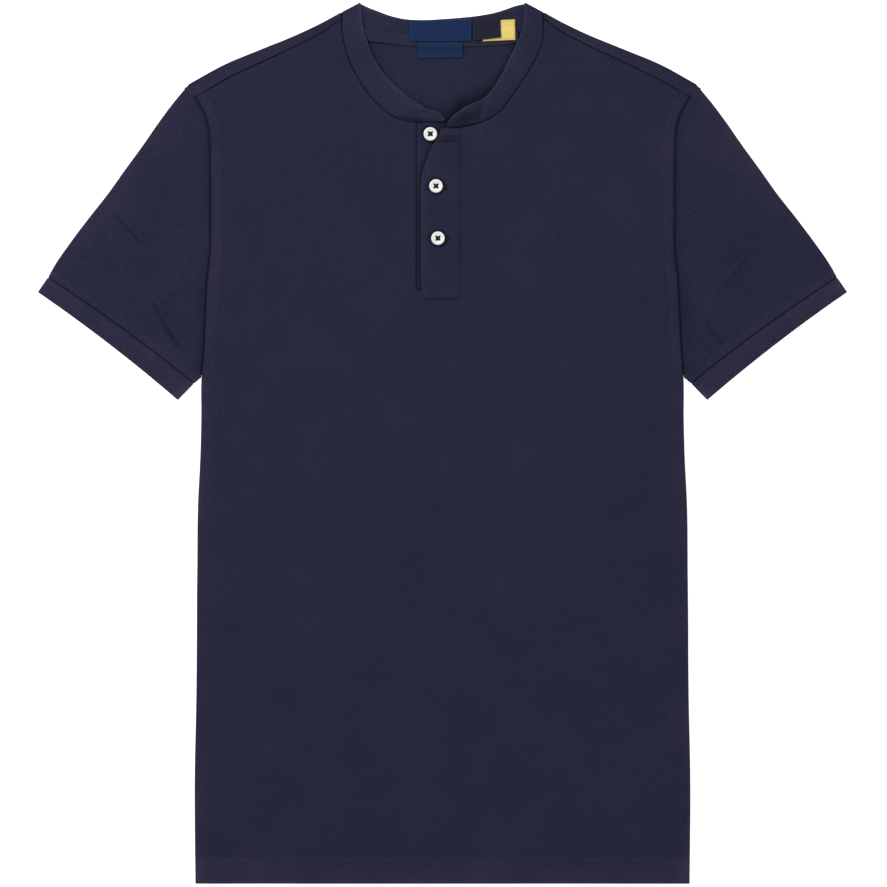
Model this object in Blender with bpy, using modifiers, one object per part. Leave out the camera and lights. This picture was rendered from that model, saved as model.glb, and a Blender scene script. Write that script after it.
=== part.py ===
"""A short-sleeved henley shirt, laid flat and face up, with its neck towards +Y.

Lengths are in metres. The origin lies on the surface that the shirt rests on, in the middle of
its outline. The wearer's left is at +X. Every sewn piece is one object. A piece of cloth is a
sheet of points through named sections, which Solidify turns into a wall. The lower layer is the
back of the shirt, flat on the surface. The upper layer is the front. Both layers of a tube, and
both layers at a shoulder, join in a round fold at the outline.
"""

import bmesh
import bpy
import numpy as np

# Thicknesses and heights
WALL = 0.0011  # one layer of knitted cloth
LABEL_WALL = 0.0010  # tape and woven labels
SEAM_GAP = 0.00035  # between pieces that meet edge to edge
LAYER_GAP = 0.0003  # between pieces that lie on each other
LOW = WALL / 2  # middle of the lower layer
HIGH = 0.00235  # middle of the upper layer, where nothing lifts it
OVERLAY = WALL + LAYER_GAP  # from one layer to a second one that lies on it
FOLD_INSET = (HIGH - LOW) / 2 + WALL / 2  # from the outline to where a fold starts to turn
ARMHOLE_GAP = 0.0004  # sideways, from the body's armhole edge to the sleeve
SIDE_DROP = 0.0004  # how far the front sinks onto the back along its side seams
SIDE_DROP_WIDTH = 0.012
SIDE_DROP_LENGTH = 0.030  # below the underarm, over which the front starts to sink
FOLD_ANGLES = np.radians([-45.0, 0.0, 45.0])  # points on a fold, between its two ends

# Placket and buttons
SLIT_LEFT = -0.0223  # the slit in the front that the button stand fills
SLIT_RIGHT = 0.0080
SLIT_END = 0.1285
STAND_TOP = 0.2692
STAND_COLUMNS = 4
PLACKET_RIGHT = 0.0147
BUTTON_RADIUS = 0.0057
BUTTON_HEIGHT = 0.0023
BUTTON_EDGE = 0.0005  # rounding of the rim
BUTTON_DISH_RADIUS = 0.0036
BUTTON_DISH_DEPTH = 0.0005
BUTTON_HOLE_RADIUS = 0.0007
BUTTON_HOLE_SPACING = 0.0024
BUTTON_SEGMENTS = 24
BUTTON_HOLE_SEGMENTS = 10
SHARP_ANGLE = np.radians(40.0)  # between faces of a button whose edge stays crisp
MERGE_DISTANCE = 0.00001  # within which points are one

# Colours and roughnesses of the finishes
NAVY = (0.0175, 0.0185, 0.0410)
NAVY_TAPE = (0.0155, 0.0165, 0.0370)
LABEL_BLUE = (0.0060, 0.0180, 0.0600)
LABEL_DARK = (0.0110, 0.0100, 0.0210)
LABEL_YELLOW = (0.6200, 0.4900, 0.1400)
BUTTON_WHITE = (0.7600, 0.7700, 0.7300)
KNIT_ROUGHNESS, TAPE_ROUGHNESS, LABEL_ROUGHNESS, BUTTON_ROUGHNESS = 0.92, 0.60, 0.60, 0.28


def table(columns, rows):
    """Named columns of a short table, each as an array."""
    return dict(zip(columns.split(), np.array(rows, dtype=float).T))


# Half width of the body from the hem up to the underarm, then of its armhole edge up to the
# shoulder seam. The shirt is the same on both sides.
BODY_EDGE = table("height half_width", (
    (-0.3700, 0.2073),
    (-0.2830, 0.2079),
    (-0.2159, 0.2066),
    (-0.1150, 0.2058),
    (-0.0479, 0.2050),
    (-0.0143, 0.2033),
    (0.0193, 0.2024),
    (0.0554, 0.2022),
    (0.0810, 0.2002),
    (0.1117, 0.1988),
    (0.1394, 0.1972),
    (0.1579, 0.1951),
    (0.1957, 0.1946),
    (0.2377, 0.1949),
    (0.2587, 0.1955),
    (0.2692, 0.1970),
    (0.2839, 0.2033),
    (0.2906, 0.2075),
))

# Rows of points across the body, below the end of the slit and, as armhole heights, above it
LOWER_ROWS = np.array(
    (-0.3700, -0.3500, -0.2900, -0.2200, -0.1400, -0.0600, 0.0150, 0.0554, 0.0800, 0.1040, SLIT_END))
UPPER_ROWS = np.array((SLIT_END, 0.1550, 0.1850, 0.2150, 0.2420, 0.2640, 0.2800, 0.2906))

NECK_SHARE = 0.60  # of half the front's width at the slit's end, whose columns lead to the neck
ARMHOLE_PULL = 3  # keeps the armhole's curve out of the columns that lead to the neck

# Sections over the shoulder, from the neck outwards: where the back turns over at the outline,
# and where it ends at the forward shoulder seam
SHOULDER = table("outline_x outline_y seam_x seam_y", (
    (0.0853, 0.3616, 0.0853, 0.3562),
    (0.0966, 0.3553, 0.0953, 0.3484),
    (0.1220, 0.3430, 0.1190, 0.3355),
    (0.1520, 0.3307, 0.1480, 0.3217),
    (0.1830, 0.3178, 0.1790, 0.3070),
    (0.2130, 0.3014, 0.2075, 0.2906),
))
PEAK = np.array((0.0693, 0.3700))  # outline at the neck, where the band turns over

# Sections across the neckband. Each goes from the seam to the free edge, with the height of
# the band's middle at both. The front half on the wearer's left, from its end at the placket:
BAND_FRONT_LEFT = table("seam_x seam_y free_x free_y seam_z free_z", (
    (0.0055, 0.2646, 0.0040, 0.2676, 0.00375, 0.0052),
    (0.0080, 0.2646, 0.0071, 0.2726, 0.00375, 0.0072),
    (0.0135, 0.2653, 0.0135, 0.2776, 0.00375, 0.0086),
    (0.0206, 0.2664, 0.0197, 0.2821, 0.00340, 0.0084),
    (0.0279, 0.2680, 0.0269, 0.2853, 0.00300, 0.0070),
    (0.0407, 0.2730, 0.0353, 0.2895, 0.00260, 0.0056),
    (0.0495, 0.2800, 0.0416, 0.2965, 0.00240, 0.0048),
    (0.0581, 0.2915, 0.0470, 0.3047, HIGH, 0.0045),
    (0.0647, 0.3007, 0.0512, 0.3121, HIGH, 0.0043),
    (0.0710, 0.3102, 0.0554, 0.3209, HIGH, 0.0042),
    (0.0783, 0.3234, 0.0601, 0.3305, HIGH, 0.0041),
    (0.0827, 0.3335, 0.0638, 0.3385, HIGH, 0.0040),
    (0.0846, 0.3452, 0.0672, 0.3494, HIGH, 0.0034),
))
# and on the wearer's right, from the shoulder to its end at the placket:
BAND_FRONT_RIGHT = table("seam_x seam_y free_x free_y seam_z free_z", (
    (-0.0843, 0.3452, -0.0664, 0.3494, HIGH, 0.0034),
    (-0.0823, 0.3343, -0.0630, 0.3373, HIGH, 0.0040),
    (-0.0785, 0.3217, -0.0580, 0.3242, HIGH, 0.0041),
    (-0.0729, 0.3102, -0.0517, 0.3133, HIGH, 0.0042),
    (-0.0659, 0.2987, -0.0445, 0.3049, HIGH, 0.0042),
    (-0.0596, 0.2902, -0.0378, 0.2978, HIGH, 0.0043),
    (-0.0525, 0.2831, -0.0307, 0.2919, HIGH, 0.0044),
    (-0.0441, 0.2759, -0.0239, 0.2869, HIGH, 0.0047),
    (-0.0340, 0.2713, -0.0181, 0.2831, HIGH, 0.0051),
    (SLIT_LEFT, 0.2697, -0.0122, 0.2797, HIGH, 0.0055),
    (-0.0139, 0.2694, -0.0071, 0.2786, HIGH, 0.0056),
    (-0.0055, 0.2693, -0.0017, 0.2764, HIGH, 0.0052),
    (0.0008, 0.2693, 0.0021, 0.2717, HIGH, 0.0040),
))
# The back half lies on the surface, from the wearer's left to the wearer's right.
BAND_BACK = table("seam_x seam_y free_x free_y", (
    (0.0806, 0.3515, 0.0613, 0.3671),
    (0.0739, 0.3461, 0.0538, 0.3645),
    (0.0638, 0.3411, 0.0462, 0.3620),
    (0.0470, 0.3386, 0.0336, 0.3594),
    (0.0235, 0.3378, 0.0168, 0.3574),
    (0.0000, 0.3376, 0.0000, 0.3561),
    (-0.0235, 0.3378, -0.0168, 0.3553),
    (-0.0470, 0.3390, -0.0336, 0.3564),
    (-0.0638, 0.3415, -0.0462, 0.3596),
    (-0.0739, 0.3461, -0.0538, 0.3625),
    (-0.0806, 0.3515, -0.0613, 0.3654),
))

# Outline of the sleeve's upper edge, from the shoulder to the cuff seam
SLEEVE_TOP = table("x y", (
    (0.2130, 0.3014),
    (0.2171, 0.2965),
    (0.2255, 0.2864),
    (0.2381, 0.2696),
    (0.2520, 0.2495),
    (0.2667, 0.2293),
    (0.2810, 0.2092),
    (0.2969, 0.1890),
    (0.3121, 0.1688),
    (0.3259, 0.1487),
    (0.3312, 0.1392),
))
SLEEVE_STATIONS = np.array((0.0, 0.05, 0.12, 0.21, 0.31, 0.42, 0.53, 0.64, 0.75, 0.86, 1.0))
UNDERARM = np.array((0.2026, 0.0554))
CUFF_SEAM_LOW = np.array((0.2086, 0.0501))
CUFF_CORNER_HIGH = np.array((0.3398, 0.1268))
CUFF_CORNER_LOW = np.array((0.2222, 0.0361))
CUFF_BOW = 0.0020  # how far the cuff curves in at its middle
CUFF_STATIONS = np.array((0.0, 0.5, 1.0))

# Free edge of the buttonhole strip, from the neck seam down. It is turned back at the top.
PLACKET_EDGE = table("y x lift", (
    (0.2639, -0.0010, 0.0008),
    (0.2595, -0.0025, 0.0008),
    (0.2545, -0.0050, 0.0007),
    (0.2491, -0.0085, 0.0006),
    (0.2402, -0.0123, 0.0004),
    (0.2318, -0.0153, 0.0002),
    (0.2245, -0.0173, 0.0001),
    (0.2077, -0.0181, 0.0),
    (0.1717, -0.0181, 0.0),
    (0.1310, -0.0176, 0.0),
    (0.1213, -0.0166, 0.0),
))
STRIP_COLUMNS = np.array((0.0, 0.3, 0.65, 1.0))  # from the free edge to the stitched one
STAND_ROWS = np.array((STAND_TOP, 0.2560, 0.2402, 0.2245, 0.2077, 0.1717, 0.1400, SLIT_END))

# Middle and layer of each button, from the top
BUTTONS = table("x y layers_below", (
    (-0.0102, 0.2593, 0),
    (-0.0054, 0.2155, 1),
    (-0.0038, 0.1717, 1),
))

# Middle of the tape over the back neck seam
TAPE = table("x y", (
    (-0.0660, 0.3430),
    (-0.0500, 0.3408),
    (-0.0281, 0.3385),
    (0.0000, 0.3376),
    (0.0281, 0.3380),
    (0.0500, 0.3393),
    (0.0640, 0.3411),
))
TAPE_WIDTH = 0.0100
TAPE_COLUMNS = 15
TAPE_RAMP = 0.0012  # over which a label climbs onto the tape

# Labels inside the back neck: the four corners, and how many labels lie beneath
LABELS = {
    "label_main": table("left_x left_y right_x right_y", (
        (-0.0277, 0.3548, 0.0248, 0.3558), (-0.0275, 0.3368, 0.0246, 0.3370))),
    "label_small": table("left_x left_y right_x right_y", (
        (-0.0213, 0.3363, 0.0172, 0.3365), (-0.0207, 0.3228, 0.0170, 0.3236))),
    "label_size": table("left_x left_y right_x right_y", (
        (0.0340, 0.3545, 0.0608, 0.3556), (0.0336, 0.3371, 0.0612, 0.3383))),
    "label_care": table("left_x left_y right_x right_y", (
        (0.0252, 0.3560, 0.0484, 0.3578), (0.0252, 0.3375, 0.0492, 0.3401))),
}
LABEL_ROWS, LABEL_COLUMNS = 17, 5
LABELS_BENEATH = {"label_main": 0, "label_small": 0, "label_size": 0, "label_care": 1}
LABEL_COLOURS = {
    "label_main": LABEL_BLUE, "label_small": LABEL_BLUE, "label_size": LABEL_YELLOW, "label_care": LABEL_DARK}

# Soft swells and the largest folds of the upper layer, each a ridge from one point to another,
# on the wearer's left and right
SWELLS = table("from_x from_y to_x to_y height width", (
    (-0.0900, 0.1500, 0.0900, 0.1500, 0.0006, 0.0650),
    (-0.1000, -0.1500, 0.1000, -0.1500, 0.0007, 0.1000),
    (0.2450, 0.2300, 0.2800, 0.1500, 0.0010, 0.0240),
    (-0.2450, 0.2300, -0.2800, 0.1500, 0.0010, 0.0240),
    (-0.2200, 0.2300, -0.2620, 0.1850, 0.0010, 0.0110),
    (-0.2080, 0.1500, -0.2450, 0.1100, 0.0009, 0.0110),
    (0.2120, 0.1900, 0.2600, 0.1350, 0.0009, 0.0120),
    (0.1850, 0.1750, 0.1350, 0.2450, 0.0006, 0.0180),
    (-0.1850, 0.1750, -0.1350, 0.2450, 0.0006, 0.0180),
))


def smooth_curve(at, knots, values):
    """Cubic through the knots, each with the slope between its two neighbours."""
    slopes = np.gradient(values, knots)
    i = np.clip(np.searchsorted(knots, at, side="right") - 1, 0, len(knots) - 2)
    span = knots[i + 1] - knots[i]
    t = np.clip((at - knots[i]) / span, 0.0, 1.0)
    start = values[i] * (1 + 2 * t) * (1 - t) ** 2 + slopes[i] * span * t * (1 - t) ** 2
    end = values[i + 1] * (3 - 2 * t) * t ** 2 - slopes[i + 1] * span * (1 - t) * t ** 2
    return start + end


def pairs(x, y):
    """Points in the plane from their two coordinates."""
    return np.stack(np.broadcast_arrays(x, y), axis=-1).astype(float)


def lengths_along(path):
    """Distance along a path at each of its points, as a fraction of the whole."""
    steps = np.linalg.norm(np.diff(path, axis=0), axis=1)
    total = np.concatenate(([0.0], np.cumsum(steps)))
    return total / total[-1]


def resample(path, fractions):
    """Points at the given fractions of a path's length."""
    along = lengths_along(path)
    return pairs(*(smooth_curve(fractions, along, path[:, axis]) for axis in (0, 1)))


def offset_path(path, distance):
    """The path moved sideways, to the right of its direction."""
    steps = np.diff(path, axis=0)
    steps /= np.linalg.norm(steps, axis=1)[:, None]
    sides = np.stack((steps[:, 1], -steps[:, 0]), axis=1)
    joined = np.vstack((sides[:1], sides[:-1] + sides[1:], sides[-1:]))
    joined /= np.linalg.norm(joined, axis=1)[:, None]
    reach = np.einsum("ij,ij->i", joined, np.vstack((sides[:1], sides)))
    return path + joined * (distance / reach)[:, None]


def fill_edges(bottom, top, left, right, pull=1):
    """Fill the space inside four edges: blend each facing pair and take the corners away once.

    A higher pull keeps the shape of the right edge nearer to that edge.
    """
    u = (lengths_along(bottom) ** pull)[None, :, None]
    v = lengths_along(left)[:, None, None]
    across = (1 - v) * bottom[None] + v * top[None]
    upwards = (1 - u) * left[:, None] + u * right[:, None]
    low = (1 - u) * bottom[0] + u * bottom[-1]
    high = (1 - u) * top[0] + u * top[-1]
    return across + upwards - (1 - v) * low - v * high


def unit(vectors):
    """Vectors of the same directions, one metre long."""
    return vectors / np.linalg.norm(vectors, axis=-1, keepdims=True)


def mirrored(points):
    """The same points on the wearer's other side."""
    return points * np.array((-1.0, 1.0, 1.0)[:points.shape[-1]])


def swell(x, y):
    """How far the ridges lift the upper layer: each falls off smoothly with distance from its line."""
    lift = np.zeros(np.broadcast(x, y).shape)
    for i in range(len(SWELLS["height"])):
        start = np.array((SWELLS["from_x"][i], SWELLS["from_y"][i]))
        along = np.array((SWELLS["to_x"][i], SWELLS["to_y"][i])) - start
        place = np.clip(((x - start[0]) * along[0] + (y - start[1]) * along[1]) / (along @ along), 0, 1)
        distance = np.hypot(x - start[0] - place * along[0], y - start[1] - place * along[1])
        lift += SWELLS["height"][i] * np.exp(-(distance / SWELLS["width"][i]) ** 2)
    return lift


def upper_points(plan, extra=0.0):
    """Points of the upper layer above a plan."""
    return np.dstack((plan, HIGH + swell(plan[..., 0], plan[..., 1]) + extra))


def body_half_width(height):
    """Distance from the centre line to the side seam or armhole edge."""
    return smooth_curve(height, BODY_EDGE["height"], BODY_EDGE["half_width"])


def armhole_path():
    """The body's armhole edge above the slit's end, upwards."""
    return pairs(body_half_width(UPPER_ROWS), UPPER_ROWS)


def shoulder_seam():
    """Forward shoulder seam, from the neck outwards."""
    return pairs(SHOULDER["seam_x"], SHOULDER["seam_y"])


def lower_plan(columns):
    """Rows across the body below the slit's end, keeping each column's share of the half width."""
    share = columns / body_half_width(SLIT_END)
    return pairs(share[None, :] * body_half_width(LOWER_ROWS)[:, None], LOWER_ROWS[:, None])


def back_points():
    """Points of the back panel, and of the strips that come over the shoulders."""
    seam = shoulder_seam()
    # From the wearer's right to the wearer's left along the top: shoulder, neck, shoulder
    neck = pairs(BAND_BACK["seam_x"], BAND_BACK["seam_y"])[::-1]
    neck = np.vstack((mirrored(seam[:1]), neck, seam[:1]))
    neck = offset_path(neck, SEAM_GAP)
    neck[0], neck[-1] = mirrored(seam[0]), seam[0]
    top = np.vstack((mirrored(seam[:0:-1]), neck, seam[1:]))
    columns = body_half_width(SLIT_END) * (2 * lengths_along(top) - 1)
    armhole = armhole_path()
    upper = fill_edges(pairs(columns, SLIT_END), top, mirrored(armhole), armhole)
    plan = np.vstack((lower_plan(columns)[:-1], upper))
    grid = np.dstack((plan, np.full(plan.shape[:2], LOW)))
    return grid, len(seam)


def over_shoulder(last_row):
    """Rows of the strip that turns up at the outline and comes back to the shoulder seam."""
    outline = pairs(SHOULDER["outline_x"], SHOULDER["outline_y"])
    seam = shoulder_seam()
    outwards = unit(outline - seam)
    start = outline - FOLD_INSET * outwards
    top_height = HIGH + swell(start[:, 0], start[:, 1])
    rows = [last_row, np.column_stack((start, np.full(len(start), LOW)))]
    rows += fold_rows(start, outwards, top_height)
    rows.append(np.column_stack((start, top_height)))
    rows.append(np.column_stack((seam, HIGH + swell(seam[:, 0], seam[:, 1]))))
    return np.array(rows)


def fold_rows(start, outwards, top_height):
    """Rows round a fold from the lower layer to the upper one, half an ellipse in section."""
    rise = (top_height - LOW) / 2
    reach = (HIGH - LOW) / 2
    rows = []
    for angle in FOLD_ANGLES:
        plan = start + reach * np.cos(angle) * outwards
        rows.append(np.column_stack((plan, LOW + rise * (1 + np.sin(angle)))))
    return rows


def front_half(neck, slit_x):
    """Plan of half the front above the slit's end, from the slit outwards, and where its columns start.

    neck follows the band's seam from the slit to the shoulder, on the wearer's left.
    """
    seam = offset_path(shoulder_seam(), SEAM_GAP)
    neck = offset_path(np.vstack((neck, seam[:1])), SEAM_GAP)
    neck[0, 0] = slit_x
    neck[-1] = seam[0]
    top = np.vstack((neck, seam[1:]))
    columns = front_columns(top, len(neck), slit_x)
    armhole = armhole_path()
    armhole[-1] = seam[-1]
    rise = (armhole[:, 1] - SLIT_END) / (armhole[-1, 1] - SLIT_END)
    slit = pairs(slit_x, SLIT_END + rise * (top[0, 1] - SLIT_END))
    return columns, fill_edges(pairs(columns, SLIT_END), top, slit, armhole, ARMHOLE_PULL)


def front_points():
    """Points of the front panel, and which of its cells the slit takes away."""
    left_neck = pairs(BAND_FRONT_LEFT["seam_x"], BAND_FRONT_LEFT["seam_y"])
    right_neck = mirrored(pairs(BAND_FRONT_RIGHT["seam_x"], BAND_FRONT_RIGHT["seam_y"]))[::-1]
    left_columns, left = front_half(left_neck[left_neck[:, 0] >= SLIT_RIGHT], SLIT_RIGHT)
    right_columns, right = front_half(right_neck[right_neck[:, 0] >= -SLIT_LEFT], -SLIT_LEFT)
    columns = np.concatenate((-right_columns[::-1], left_columns))
    upper = np.hstack((mirrored(right)[:, ::-1], left))
    plan = np.vstack((lower_plan(columns)[:-1], upper))
    grid = upper_points(plan)
    grid[..., 2] -= side_drop(plan)
    keep = np.ones((plan.shape[0] - 1, plan.shape[1] - 1), dtype=bool)
    keep[len(LOWER_ROWS) - 1:, len(right_columns) - 1] = False
    return grid, keep


def front_columns(top, neck_count, first):
    """Where the front's columns start at the slit's end. Those that lead to the neck and those that
    lead to the shoulder are each spaced as their upper ends are."""
    last = body_half_width(SLIT_END)
    middle = first + NECK_SHARE * (last - first)
    neck = first + (middle - first) * lengths_along(top[:neck_count])
    shoulder = middle + (last - middle) * lengths_along(top[neck_count - 1:])
    return np.concatenate((neck, shoulder[1:]))


def side_drop(plan):
    """How far the front sinks onto the back near its side seams, below the underarm."""
    inside = body_half_width(plan[..., 1]) - np.abs(plan[..., 0])
    near_side = np.clip(1 - inside / SIDE_DROP_WIDTH, 0, 1) ** 2
    below_arm = np.clip((UNDERARM[1] - plan[..., 1]) / SIDE_DROP_LENGTH, 0, 1)
    return SIDE_DROP * near_side * below_arm


def tube_grid(plan, extra=0.0):
    """Closed sections of a flattened tube. Each runs along the lower layer, round the fold at the
    plan's last column, back along the upper layer and round the fold at its first column."""
    lower = np.dstack((plan, np.full(plan.shape[:2], LOW)))
    upper = upper_points(plan, extra)
    last_out = unit(plan[:, -1] - plan[:, -2])
    first_out = unit(plan[:, 0] - plan[:, 1])
    last_fold = np.array(fold_rows(plan[:, -1], last_out, upper[:, -1, 2])).transpose(1, 0, 2)
    first_fold = np.array(fold_rows(plan[:, 0], first_out, upper[:, 0, 2])).transpose(1, 0, 2)
    return np.hstack((lower, last_fold, upper[:, ::-1], first_fold[:, ::-1]))


def sleeve_armhole():
    """The sleeve's end at the armhole, from the shoulder fold down to the underarm."""
    outline = pairs(SHOULDER["outline_x"], SHOULDER["outline_y"])[-1]
    seam = shoulder_seam()[-1]
    fold_start = outline - FOLD_INSET * unit(outline - seam)
    upper = armhole_path()[::-1]
    heights = LOWER_ROWS[(LOWER_ROWS > UNDERARM[1]) & (LOWER_ROWS < SLIT_END)][::-1]
    lower = pairs(body_half_width(heights), heights)
    underarm = UNDERARM + (0.0, FOLD_INSET)
    return np.vstack((fold_start, upper, lower, underarm)) + (ARMHOLE_GAP, 0.0)


def bowed(start, end, fractions):
    """A line from start to end that curves towards the shoulder."""
    along = unit(end - start)
    bow = CUFF_BOW * 4 * fractions * (1 - fractions)
    return start + np.outer(fractions, end - start) + np.outer(bow, (along[1], -along[0]))


def inset(line):
    """The line with its two ends moved in by what a fold takes up."""
    along = unit(line[1] - line[0])
    return line + np.array((FOLD_INSET * along, -FOLD_INSET * along))


def cuff_seam(fractions):
    """Where the sleeve ends, from its upper fold to its lower one."""
    outline = pairs(SLEEVE_TOP["x"], SLEEVE_TOP["y"])
    start, end = inset(np.array((outline[-1], CUFF_SEAM_LOW)))
    return bowed(start, end, fractions)


def sleeve_plan():
    """Plan of the wearer's left sleeve, from the armhole to the cuff seam."""
    armhole = sleeve_armhole()
    seam = cuff_seam(lengths_along(armhole))
    outline = offset_path(pairs(SLEEVE_TOP["x"], SLEEVE_TOP["y"]), FOLD_INSET)
    top = resample(outline, SLEEVE_STATIONS)
    top[0], top[-1] = armhole[0], seam[0]
    under = armhole[-1] + np.outer(SLEEVE_STATIONS, seam[-1] - armhole[-1])
    return fill_edges(armhole, seam, top, under)


def cuff_plan():
    """Plan of the wearer's left cuff, from its seam to its edge."""
    fractions = lengths_along(sleeve_armhole())
    seam = cuff_seam(fractions)
    start, end = inset(np.array((CUFF_CORNER_HIGH, CUFF_CORNER_LOW)))
    edge = bowed(start, end, fractions)
    outwards = unit(edge.mean(axis=0) - seam.mean(axis=0))
    seam = seam + SEAM_GAP * outwards
    return seam[None] + CUFF_STATIONS[:, None, None] * (edge - seam)[None]


def band_section_rows(sections, seam_z, free_z):
    """Points across the neckband at each section: seam, middle and free edge."""
    seam = pairs(sections["seam_x"], sections["seam_y"])
    free = pairs(sections["free_x"], sections["free_y"])
    seam = np.column_stack((seam, np.broadcast_to(seam_z, len(seam))))
    free = np.column_stack((free, np.broadcast_to(free_z, len(free))))
    return np.stack((seam, (seam + free) / 2, free), axis=1)


def band_fold(side):
    """Sections of the neckband round its fold at a shoulder, from the upper layer down."""
    outline = np.array((SHOULDER["outline_x"][0] - SEAM_GAP, SHOULDER["outline_y"][0]))
    line = np.array((outline, (outline + PEAK) / 2, PEAK))
    along = unit(PEAK - outline)
    outwards = np.array((-along[1], along[0]))
    if outwards[1] < 0:
        outwards = -outwards
    start = line - FOLD_INSET * outwards
    directions = np.tile(outwards, (3, 1))
    high = np.column_stack((start, np.full(3, HIGH)))
    low = np.column_stack((start, np.full(3, LOW)))
    rows = [high] + fold_rows(start, directions, np.full(3, HIGH))[::-1] + [low]
    return np.array(rows) * (side, 1.0, 1.0)


def neckband_points():
    """Points of the neckband, from its end on the wearer's left round to the other end."""
    left = band_section_rows(BAND_FRONT_LEFT, BAND_FRONT_LEFT["seam_z"], BAND_FRONT_LEFT["free_z"])
    right = band_section_rows(BAND_FRONT_RIGHT, BAND_FRONT_RIGHT["seam_z"], BAND_FRONT_RIGHT["free_z"])
    back = band_section_rows(BAND_BACK, LOW, LOW)
    return np.vstack((left, band_fold(1.0), back, band_fold(-1.0)[::-1], right))


def placket_top_points():
    """Points of the buttonhole strip, which lies on the button stand and on the front."""
    across = STRIP_COLUMNS
    x = PLACKET_EDGE["x"][:, None] + across * (PLACKET_RIGHT - PLACKET_EDGE["x"][:, None])
    plan = pairs(x, PLACKET_EDGE["y"][:, None])
    lift = PLACKET_EDGE["lift"][:, None] * (1 - across) ** 2
    return upper_points(plan, OVERLAY + lift)


def placket_under_points():
    """Points of the button stand, which fills the slit in the front."""
    x = np.linspace(SLIT_LEFT + SEAM_GAP, SLIT_RIGHT - SEAM_GAP, STAND_COLUMNS)
    rows = STAND_ROWS.copy()
    rows[0] -= SEAM_GAP
    rows[-1] += SEAM_GAP
    return upper_points(pairs(x[None, :], rows[:, None]))


def tape_middle(x):
    """Height along Y of the tape's middle."""
    return smooth_curve(x, TAPE["x"], TAPE["y"])


def tape_points():
    """Points of the tape, which lies on the back panel and on the band."""
    x = np.linspace(TAPE["x"][0], TAPE["x"][-1], TAPE_COLUMNS)
    across = np.array((-0.5, 0.5)) * TAPE_WIDTH
    y = tape_middle(x)[None, :] + across[:, None]
    height = WALL + LAYER_GAP + LABEL_WALL / 2
    return np.dstack((pairs(x[None, :], y), np.full(y.shape, height)))


def label_height(x, y):
    """Height of the middle of a label that lies on the tape, or beside it on the lower layer."""
    beyond = np.abs(y - tape_middle(x)) - TAPE_WIDTH / 2
    on_tape = np.clip(1 - (beyond - TAPE_RAMP / 2) / TAPE_RAMP, 0, 1)
    step = LABEL_WALL + LAYER_GAP
    return WALL + LAYER_GAP + LABEL_WALL / 2 + step * on_tape


def label_points(corners, beneath):
    """Points of a label between its four corners, settled on what is below it."""
    down = np.linspace(0.0, 1.0, LABEL_ROWS)[:, None, None]
    across = np.linspace(0.0, 1.0, LABEL_COLUMNS)[None, :, None]
    left = pairs(corners["left_x"], corners["left_y"])
    right = pairs(corners["right_x"], corners["right_y"])
    left_edge = left[0] + down * (left[1] - left[0])
    right_edge = right[0] + down * (right[1] - right[0])
    plan = left_edge + across * (right_edge - left_edge)
    height = label_height(plan[..., 0], plan[..., 1]) + beneath * (LABEL_WALL + LAYER_GAP)
    return np.dstack((plan, height))


def make_material(name, colour, roughness):
    """A plain finish with a colour and a roughness."""
    material = bpy.data.materials.new(name)
    material.use_nodes = True
    shader = material.node_tree.nodes["Principled BSDF"]
    shader.inputs["Base Color"].default_value = (*colour, 1.0)
    shader.inputs["Roughness"].default_value = roughness
    shader.inputs["Metallic"].default_value = 0.0
    return material


def place(obj, material, collection):
    """Give an object its material and put it in its collection."""
    if not obj.data.materials:
        obj.data.materials.append(material)
    collection.objects.link(obj)


def grid_mesh(name, grid, keep=None, closed=False):
    """Mesh of the cells between rows of points. A closed grid joins its last column to its first."""
    rows, columns = grid.shape[:2]
    index = np.arange(rows * columns).reshape(rows, columns)
    if closed:
        index = np.hstack((index, index[:, :1]))
    corners = (index[:-1, :-1], index[:-1, 1:], index[1:, 1:], index[1:, :-1])
    faces = np.stack(corners, axis=-1)
    faces = faces[keep] if keep is not None else faces.reshape(-1, 4)
    mesh = bpy.data.meshes.new(name)
    mesh.from_pydata(grid.reshape(-1, 3).tolist(), [], faces.tolist())
    return mesh


def tidy_sheet(mesh):
    """Weld doubled points, drop loose ones and turn all faces the same way."""
    work = bmesh.new()
    work.from_mesh(mesh)
    bmesh.ops.remove_doubles(work, verts=work.verts, dist=MERGE_DISTANCE)
    loose = [vertex for vertex in work.verts if not vertex.link_faces]
    bmesh.ops.delete(work, geom=loose, context="VERTS")
    bmesh.ops.recalc_face_normals(work, faces=work.faces)
    work.to_mesh(mesh)
    work.free()


def make_cloth(name, meshes, wall, material, collection):
    """One piece of cloth: its sheets welded together, then given a wall."""
    work = bmesh.new()
    for mesh in meshes:
        work.from_mesh(mesh)
        bpy.data.meshes.remove(mesh)
    sheet = bpy.data.meshes.new(name)
    work.to_mesh(sheet)
    work.free()
    tidy_sheet(sheet)
    sheet.shade_smooth()
    obj = bpy.data.objects.new(name, sheet)
    solid = obj.modifiers.new("wall", "SOLIDIFY")
    solid.thickness = wall
    solid.offset = 0.0
    place(obj, material, collection)
    return obj


def make_back(material, collection):
    """Back panel and its two shoulder strips."""
    grid, count = back_points()
    left_strip = over_shoulder(grid[-1, -count:])
    right_strip = over_shoulder(mirrored(grid[-1, count - 1::-1]))
    meshes = [
        grid_mesh("panel", grid),
        grid_mesh("left strip", left_strip),
        grid_mesh("right strip", mirrored(right_strip)),
    ]
    make_cloth("back", meshes, WALL, material, collection)


def make_sleeves(material, collection):
    """Both sleeves and both cuffs."""
    for name, plan in (("sleeve", sleeve_plan()), ("cuff", cuff_plan())):
        for side, x_sign in (("left", 1.0), ("right", -1.0)):
            flat = plan * (x_sign, 1.0)
            mesh = grid_mesh(name, tube_grid(flat), closed=True)
            make_cloth(f"{name}_{side}", [mesh], WALL, material, collection)


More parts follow.
